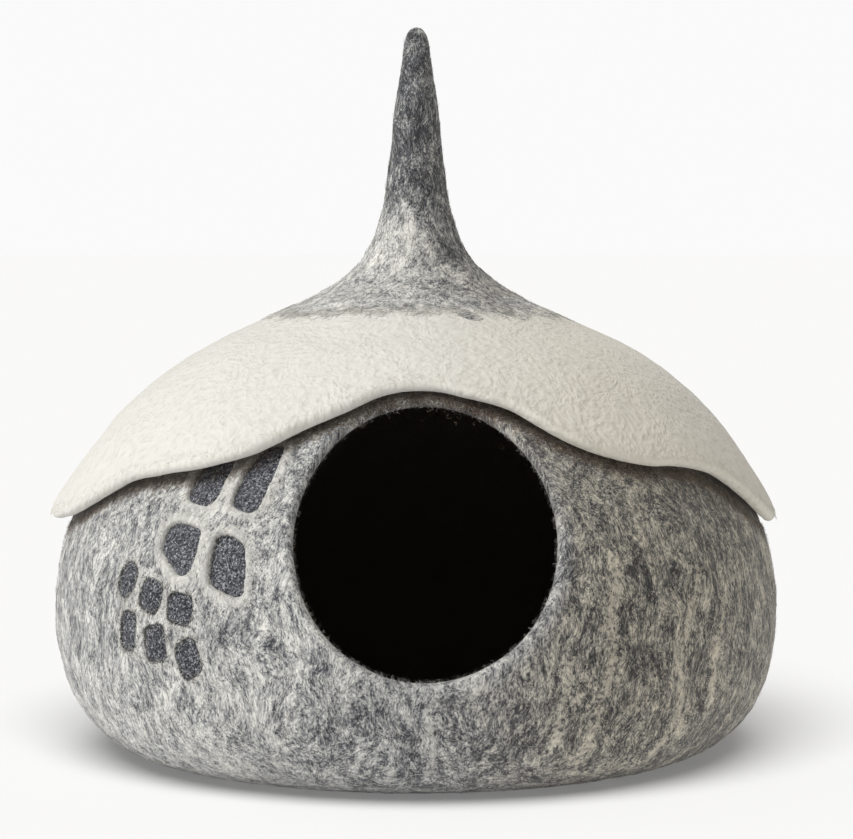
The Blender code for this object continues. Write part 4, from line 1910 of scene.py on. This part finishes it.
@dataclass
class FeltInlays:
    """The charcoal panes, sunk in the felt, and the pebbles, felted in nearly flush."""

    face: BallFace = field(default_factory=BallFace)
    pane_material: CharcoalMaterial = CharcoalMaterial()
    pebble_material: CharcoalMaterial = CharcoalMaterial(
        name="needled_dark_prefelt",
        stops=((0.0, "#0c0d10"), (0.40, "#2a2b30"), (0.60, "#585960"), (0.85, "#b2b3b9")),
    )
    felt: float = 3.2 * MM
    sunk: tuple[float, float] = (2.4 * MM, 0.35 * MM)  # of a pane and of a pebble
    crown: tuple[float, float] = (0.7 * MM, 0.9 * MM)
    tuck: tuple[float, float] = (0.5 * MM, 0.8 * MM)  # the edge reaches this far past the outline
    rings: int = 12
    sides: int = 72
    lumps: tuple[Lumps, ...] = (Lumps(7 * MM, 0.35 * MM, 3.3), Lumps(3 * MM, 0.2 * MM, 4.1))

    def outline(self, inlay: Inlay) -> Array:
        """The inlay's outline with evenly spaced points.

        Args:
            inlay: The inlay.

        Returns:
            Points across and up from its middle.
        """
        corners = np.array([*inlay.outline, inlay.outline[0]])
        long = np.concatenate([[0.0], np.cumsum(np.hypot(*np.diff(corners, axis=0).T))])
        at = np.linspace(0.0, long[-1], self.sides, endpoint=False)
        return np.stack([np.interp(at, long, corners[:, k]) for k in (0, 1)], axis=1)

    def build(self, inlay: Inlay) -> Piece:
        """Builds one inlay as a closed slab with a softly swelling face.

        Args:
            inlay: The inlay.

        Returns:
            The piece.
        """
        which = 0 if inlay.kind is InlayKind.PANE else 1
        sunk, crown, tuck = self.sunk[which], self.crown[which], self.tuck[which]
        edge = self.outline(inlay)
        middle = edge.mean(axis=0)
        reach = np.linalg.norm(edge - middle, axis=1, keepdims=True)
        edge = middle + (edge - middle) * (1 + tuck / reach)
        mesh = MeshData()
        levels = [(k / self.rings, 0.0) for k in range(1, self.rings + 1)]
        levels += [(1.0, -self.felt), (0.5, -self.felt)]
        for share, drop in levels:
            local = middle + (edge - middle) * share
            azimuth, arc = inlay.place(local)
            points, normals = self.face.plain(azimuth, arc)
            swell = crown * (1 - share**2.5) if drop == 0 else 0.0
            height = lumpiness(points, self.lumps) * (drop == 0) - sunk + swell + drop
            mesh.add(points + normals * height[:, None], [])
        azimuth, arc = inlay.place(middle[None])
        points, normals = self.face.plain(azimuth, arc)
        top = mesh.add(points + normals * (crown - sunk), [])
        bottom = mesh.add(points - normals * (sunk + self.felt), [])
        count, total = self.sides, len(levels)
        for j in range(count):
            n = (j + 1) % count
            mesh.faces.append((top, j, n))
            for k in range(total - 1):
                a, b = k * count, (k + 1) * count
                mesh.faces.append((a + j, b + j, b + n, a + n))
            low = (total - 1) * count
            mesh.faces.append((bottom, low + n, low + j))
        return mesh.to_object(f"charcoal_{inlay.name}")

    def dress_all(self) -> None:
        """Builds and dresses every inlay."""
        materials = {
            InlayKind.PANE: self.pane_material.build(),
            InlayKind.PEBBLE: self.pebble_material.build(),
        }
        for inlay in INLAYS:
            material = materials[inlay.kind]
            piece = dress(self.build(inlay), material, inlay.name)


@dataclass
class LooseWool:
    """The fibres that stand off the felt, piece by piece."""

    ball: BallFace
    skirt: SkirtFace
    grey: FibreMaterial = FibreMaterial("loose_grey_fibres", "#2b2c30", "#f0eee7")
    brown: FibreMaterial = FibreMaterial("loose_brown_fibres", "#332a22", "#a8937c")
    cream: FibreMaterial = FibreMaterial("loose_cream_fibres", "#cfc9bc", "#efebe2")
    margin_forward: float = 14.0 * MM  # at the front the margin's fibres lie this much further up
    scallop: float = 2.2 * MM
    edges: dict[InlayKind, tuple[int, float, float, float]] = field(
        default_factory=lambda: {  # how many, how far outside and how spread, and the dark share
            InlayKind.PANE: (60, 1.6 * MM, 0.8 * MM, 0.1),
            InlayKind.PEBBLE: (190, 0.6 * MM, 1.3 * MM, 0.6),
        }
    )

    def scatter(
        self, rng: np.random.Generator, count: int, low: float, high: float
    ) -> tuple[Array, Array]:
        """Places spread evenly over the ball between two arc lengths.

        Args:
            rng: The random numbers.
            count: How many places.
            low: The lower arc length.
            high: The higher arc length.

        Returns:
            Azimuths and arc lengths.
        """
        table = np.linspace(low, high, 400)
        share = np.cumsum(BALL.at(table)[0])
        arc = np.interp(rng.uniform(0, share[-1], count), share, table)
        return rng.uniform(-math.pi, math.pi, count), arc

    def clear_of_mouth(self, azimuth: Array, points: Array, margin: float) -> Array:
        """Which points are clear of the mouth.

        Args:
            azimuth: Azimuths in radians.
            points: The points there.
            margin: How far from the mouth's edge counts as clear.

        Returns:
            True or False for each point.
        """
        across, up = points[:, 0] - MOUTH_CENTRE[0], points[:, 2] - MOUTH_CENTRE[1]
        return (np.cos(azimuth) <= 0) | (np.hypot(across, up) >= MOUTH_RADIUS + margin)

    def on_ball(self) -> Piece:
        """Single pale and dark fibres over the ball below the skirt.

        Returns:
            The piece.
        """
        fibres = Fibres("ball_surface_fibres", self.grey, 11)
        rng = fibres.rng
        low = BASE_RADIUS + 6 * MM
        azimuth, arc = self.scatter(rng, 11000, low, float(BALL.arc_at_height(0.262)))
        points, _ = self.ball.plain(azimuth, arc)
        pane, pebble = inlay_distances(azimuth, arc)
        keep = self.clear_of_mouth(azimuth, points, 13 * MM)
        keep &= (points[:, 2] < hem_height(azimuth) - 2 * MM) & (pane > 2 * MM) & (pebble > 2 * MM)
        azimuth, arc, points = azimuth[keep], arc[keep], points[keep]
        count = len(arc)
        swirl = lumpiness(points, (Lumps(70 * MM, 2.2, 9.1),))
        # pale fibres are likelier where light is painted, fewer where shade is painted
        shade = 0.5 + 1.2 * WOOL_TONE_AND_PAINTED_LIGHT.at(points)
        pale = rng.uniform(size=count) < shade
        tone = np.where(pale, rng.uniform(0.55, 0.92, count), rng.uniform(0.06, 0.36, count))
        fibres.lie_on(
            self.ball, azimuth, arc, heading=swirl + rng.normal(0.0, 0.5, count),
            length=rng.uniform(4 * MM, 11 * MM, count), curl=rng.normal(0.0, 0.9, count),
            lift=rng.uniform(0.0, 0.5 * MM, count) + 0.9 * MM * (rng.uniform(size=count) < 0.1),
            radius=rng.uniform(0.09 * MM, 0.16 * MM, count), tone=tone, points=4,
        )
        return fibres.build()

    def on_crown(self) -> Piece:
        """Single fibres over the crown and up the spire.

        Returns:
            The piece.
        """
        fibres = Fibres("spire_fibres", self.grey, 12)
        rng = fibres.rng
        low = float(BALL.arc_at_height(0.306))
        azimuth, arc = self.scatter(rng, 2600, low, BALL.length - 9 * MM)
        more_azimuth, more_arc = self.scatter(
            rng, 1500, float(BALL.arc_at_height(0.34)), BALL.length - 9 * MM
        )
        azimuth, arc = np.append(azimuth, more_azimuth), np.append(arc, more_arc)
        points, _ = self.ball.plain(azimuth, arc)
        count = len(arc)
        # pale fibres are likelier where light is painted, fewer where shade is painted
        pale = rng.uniform(size=count) < 0.5 + 1.1 * WOOL_TONE_AND_PAINTED_LIGHT.at(points)
        tone = np.where(pale, rng.uniform(0.55, 1.0, count), rng.uniform(0.0, 0.3, count))
        fibres.lie_on(
            self.ball, azimuth, arc, heading=rng.normal(0.0, 0.6, count),
            length=rng.uniform(3 * MM, 8 * MM, count), curl=rng.normal(0.0, 1.0, count),
            lift=rng.uniform(0.0, 0.5 * MM, count) + 1.0 * MM * (rng.uniform(size=count) < 0.15),
            radius=rng.uniform(0.09 * MM, 0.16 * MM, count), tone=tone, points=4,
        )
        return fibres.build()

    def on_rim(self) -> Piece:
        """Short curls that stand off the mouth's rim.

        Returns:
            The piece.
        """
        fibres = Fibres("mouth_rim_curls", self.grey, 13)
        rng = fibres.rng
        count = 1500
        turn = rng.uniform(0, 2 * math.pi, count)
        outer, normal = self.ball.plain(*mouth_edge(turn, MOUTH_RADIUS + FELT / 2))
        nearer = self.ball.plain(*mouth_edge(turn, MOUTH_RADIUS + FELT / 2 - 1 * MM))[0]
        inward = unit(nearer - outer)
        roll = rng.uniform(0.05, 0.72, count)[:, None] * math.pi
        way = normal * np.cos(roll) + inward * np.sin(roll)
        roots = outer - normal * FELT / 2 + way * (FELT / 2 - 0.2 * MM)
        way = unit(way + 0.9 * rng.normal(size=(count, 3)))
        pale = rng.uniform(size=count) < 0.6
        tone = np.where(pale, rng.uniform(0.4, 0.9, count), rng.uniform(0.0, 0.25, count))
        length = rng.uniform(2 * MM, 4.5 * MM, count)
        radius = rng.uniform(0.06 * MM, 0.11 * MM, count)
        fibres.spring_from(roots, way, length, 0.4, radius, tone)
        return fibres.build()

    def shaded_hem_corner(self) -> Piece:
        """Brown fuzz in the corner between the ball and the skirt's hem.

        Returns:
            The piece.
        """
        fibres = Fibres("hem_fuzz", self.brown, 14)
        rng = fibres.rng
        count = 4200
        azimuth = rng.uniform(-math.pi, math.pi, count)
        drop = rng.gamma(2.0, 3.0 * MM, count)
        height = hem_height(azimuth) - 3.0 * MM - drop
        arc = BALL.arc_at_height(height)
        roots, normals = self.ball.plain(azimuth, arc)
        roots = roots + normals * 0.3 * MM
        down = np.array([0.0, 0.0, -1.0])
        way = unit(0.5 * normals + 0.3 * down + 0.8 * rng.normal(size=(count, 3)))
        tone = rng.uniform(0.0, 1.0, count) ** 1.4
        length = rng.uniform(3.0 * MM, 7.5 * MM, count)
        length *= 0.3 + 0.7 * smoothstep(0.2, 0.5, np.abs(np.cos(azimuth)))
        radius = rng.uniform(0.07 * MM, 0.13 * MM, count)
        fibres.spring_from(roots, way, length, 0.45, radius, tone, points=6)
        return fibres.build()

    def guard_hairs(self) -> Piece:
        """A few long pale hairs that cross the ball.

        Returns:
            The piece.
        """
        fibres = Fibres("guard_hairs", self.grey, 15)
        rng = fibres.rng
        azimuth, arc = self.scatter(rng, 420, BASE_RADIUS + 20 * MM, float(BALL.arc_at_height(0.2)))
        points, _ = self.ball.plain(azimuth, arc)
        keep = self.clear_of_mouth(azimuth, points, 22 * MM)
        keep &= points[:, 2] < hem_height(azimuth) - 20 * MM
        azimuth, arc = azimuth[keep], arc[keep]
        count = len(arc)
        fibres.lie_on(
            self.ball, azimuth, arc, heading=rng.uniform(-math.pi, math.pi, count),
            length=rng.uniform(8 * MM, 18 * MM, count), curl=rng.normal(0.0, 1.0, count),
            lift=rng.uniform(0.3 * MM, 2.2 * MM, count), radius=np.full(count, 0.12 * MM),
            tone=rng.uniform(0.85, 1.0, count), points=8,
        )
        return fibres.build()

    def round_inlays(self) -> Piece:
        """Pale and charcoal fibres that cross the edges of the inlays.

        Returns:
            The piece.
        """
        fibres = Fibres("inlay_edge_fibres", self.grey, 16)
        rng = fibres.rng
        for inlay in INLAYS:
            count, away, spread, dark_share = self.edges[inlay.kind]
            corners = np.array(inlay.outline)
            pick = rng.integers(0, len(corners), count)
            share = rng.uniform(size=count)[:, None]
            edge = corners[pick] * (1 - share) + np.roll(corners, -1, axis=0)[pick] * share
            out = unit(edge - corners.mean(axis=0))
            shift = rng.normal(away, spread, count)
            azimuth, arc = inlay.place(edge + out * shift[:, None])
            dark = rng.uniform(size=count) < dark_share
            tone = np.where(dark, rng.uniform(0.0, 0.16, count), rng.uniform(0.6, 0.95, count))
            fibres.lie_on(
                self.ball, azimuth, arc, heading=rng.uniform(-math.pi, math.pi, count),
                length=rng.uniform(2.5 * MM, 5.5 * MM, count), curl=rng.normal(0.0, 1.2, count),
                lift=rng.uniform(0.2 * MM, 0.9 * MM, count),
                radius=rng.uniform(0.10 * MM, 0.17 * MM, count), tone=tone, points=4,
            )
        return fibres.build()

    def over_margin(self) -> Piece:
        """Grey and cream fibres that tie the skirt's upper margin to the crown.

        Returns:
            The piece.
        """
        fibres = Fibres("margin_fibres", self.grey, 17)
        rng = fibres.rng
        count = 5200
        azimuth = rng.uniform(-math.pi, math.pi, count)
        forward = self.margin_forward * np.clip(np.cos(azimuth), 0.0, 1.0) ** 2
        scallop = np.sin(17 * azimuth + 0.6) + 0.7 * np.sin(29 * azimuth + 2.0)
        scallop = self.scallop * (scallop + 0.5 * np.sin(47 * azimuth))
        arc = self.skirt.join_arc - forward + scallop + rng.normal(-1.5 * MM, 4.0 * MM, count)
        arc = np.maximum(arc, 8 * MM)
        grey = rng.uniform(size=count) < 0.25
        tone = np.where(grey, rng.uniform(0.1, 0.4, count), rng.uniform(0.75, 0.95, count))
        fibres.lie_on(
            self.skirt, azimuth, arc, heading=rng.normal(0.0, 0.8, count),
            length=rng.uniform(3 * MM, 7 * MM, count), curl=rng.normal(0.0, 1.0, count),
            lift=rng.uniform(0.0, 0.6 * MM, count), radius=rng.uniform(0.08 * MM, 0.15 * MM, count),
            tone=tone, points=4,
        )
        return fibres.build()

    def on_hem(self) -> Piece:
        """Fine cream fibres round the skirt's rolled hem.

        Returns:
            The piece.
        """
        fibres = Fibres("hem_edge_fibres", self.cream, 18)
        rng = fibres.rng
        count = 3000
        azimuth = rng.uniform(-math.pi, math.pi, count)
        arc = self.skirt.hem_arc(azimuth) - rng.uniform(1.0 * MM, 9.0 * MM, count)
        fibres.lie_on(
            self.skirt, azimuth, arc, heading=rng.uniform(-math.pi, math.pi, count),
            length=rng.uniform(1.8 * MM, 4.5 * MM, count), curl=rng.normal(0.0, 1.4, count),
            lift=rng.uniform(0.1 * MM, 0.9 * MM, count),
            radius=rng.uniform(0.05 * MM, 0.09 * MM, count), tone=rng.uniform(0.2, 1.0, count),
            points=4,
        )
        return fibres.build()


# ---------------- camera, floor and light


class Sun(NamedTuple):
    """A broad soft light from far away."""

    name: str
    way: tuple[float, float, float]  # towards the light
    strength: float
    angle_deg: float
    colour: tuple[float, float, float]


@dataclass(frozen=True)
class Studio:
    """A pale seamless floor and backdrop, soft light from the upper left, and the camera."""

    camera_at: tuple[float, float, float] = (0.0, -2.1, 0.39)
    pitch: float = 0.0775  # radians below level
    lens: float = 127.8
    sensor: float = 36.0
    view_reach: float = 100.0
    shift_x: float = 0.0117
    floor_radius: float = 15.0
    backdrop: float = 0.957
    floor_tone: str = "#a0a0a0"
    floor_glow: float = 0.17
    sky: float = 0.42
    sky_colour: tuple[float, ...] = (1.0, 0.97, 0.915, 1.0)
    key: Sun = Sun("key", (-0.66, -0.33, 0.67), 2.5, 34.0, (0.985, 0.995, 1.0))
    front: Sun = Sun("front", (-0.09, -0.52, 0.85), 6.7, 48.0, (1.0, 1.0, 1.0))

    def build(self) -> None:
        """Makes the camera, the floor, the backdrop and the lights."""
        scene = bpy.context.scene
        scene.view_settings.view_transform = "Standard"
        camera = bpy.data.cameras.new("camera")
        camera.lens = self.lens
        camera.sensor_width = self.sensor
        camera.shift_x = self.shift_x
        camera.clip_end = self.view_reach
        eye = bpy.data.objects.new("camera", camera)
        eye.location = self.camera_at
        eye.rotation_euler = (math.pi / 2 - self.pitch, 0.0, 0.0)
        scene.collection.objects.link(eye)
        scene.camera = eye
        floor = self.floor()
        self.dome()
        self.lights(floor)

    def stage(self, name: str, bm: bmesh.types.BMesh, material: Material) -> Piece:
        """Puts a mesh on the stage, where it isn't part of the cave.

        Args:
            name: Its name.
            bm: The mesh.
            material: Its material.

        Returns:
            The object.
        """
        mesh = bpy.data.meshes.new(name)
        bm.to_mesh(mesh)
        bm.free()
        mesh.materials.append(material)
        thing = bpy.data.objects.new(name, mesh)
        bpy.context.scene.collection.objects.link(thing)
        return thing

    def floor(self) -> Piece:
        """Makes the floor, which is matt board.

        Returns:
            The floor.
        """
        bm = bmesh.new()
        bmesh.ops.create_circle(bm, cap_ends=True, segments=96, radius=self.floor_radius)
        material, tree = new_tree("matt_board")
        inputs = {
            "Base Color": linear(self.floor_tone), "Roughness": 0.9, "Specular IOR Level": 0.0,
            "Emission Color": (1.0, 1.0, 1.0, 1.0), "Emission Strength": self.floor_glow,
        }
        shader = add_node(tree, "BsdfPrincipled", inputs)
        add_node(tree, "OutputMaterial", {"Surface": shader.outputs["BSDF"]})
        return self.stage("floor", bm, material)

    def dome(self) -> None:
        """Makes a white backdrop all round, which only the camera sees."""
        bm = bmesh.new()
        radius = self.floor_radius * 0.99
        bmesh.ops.create_uvsphere(bm, u_segments=64, v_segments=32, radius=radius)
        material, tree = new_tree("lit_white_backdrop")
        tone = (self.backdrop, self.backdrop, self.backdrop, 1.0)
        glow = add_node(tree, "Emission", {"Color": tone, "Strength": 1.0})
        add_node(tree, "OutputMaterial", {"Surface": glow.outputs["Emission"]})
        dome = self.stage("backdrop", bm, material)
        for rays in ("diffuse", "glossy", "transmission", "volume_scatter", "shadow"):
            setattr(dome, f"visible_{rays}", False)

    def lights(self, floor: Piece) -> None:
        """Makes a soft key from the upper left, a light from the front for the floor, and dim sky.

        Args:
            floor: The floor, which has a light of its own.
        """
        scene = bpy.context.scene
        world = bpy.data.worlds.new("studio")
        world.use_nodes = True
        sky = world.node_tree.nodes["Background"]
        sky.inputs["Color"].default_value = self.sky_colour
        sky.inputs["Strength"].default_value = self.sky
        scene.world = world
        for sun in (self.key, self.front):
            light = bpy.data.lights.new(sun.name, "SUN")
            light.energy = sun.strength
            light.angle = math.radians(sun.angle_deg)
            light.color = sun.colour
            lamp = bpy.data.objects.new(sun.name, light)
            lamp.rotation_mode = "QUATERNION"
            lamp.rotation_quaternion = Vector(sun.way).to_track_quat("Z", "Y")
            scene.collection.objects.link(lamp)
            lit = bpy.data.collections.new(f"{sun.name}_light")
            lit.objects.link(floor)
            lamp.light_linking.receiver_collection = lit
            if sun is self.key:
                lit.collection_objects[0].light_linking.link_state = "EXCLUDE"


# ---------------- all of it


def main() -> None:
    logging.basicConfig(level=logging.INFO, format="%(name)s: %(message)s")
    Studio().build()
    ball_maker = FeltBall()
    ball = ball_maker.build()
    skirt_maker = FeltSkirt()
    skirt = skirt_maker.build()
    FeltInlays().dress_all()
    loose = LooseWool(ball_maker.face, skirt_maker.face)
    on_ball = [
        loose.on_ball(), loose.on_crown(), loose.on_rim(), loose.shaded_hem_corner(), loose.guard_hairs(),
        loose.round_inlays(),
    ]
    on_skirt = [loose.over_margin(), loose.on_hem()]


if __name__ == "__main__":
    main()
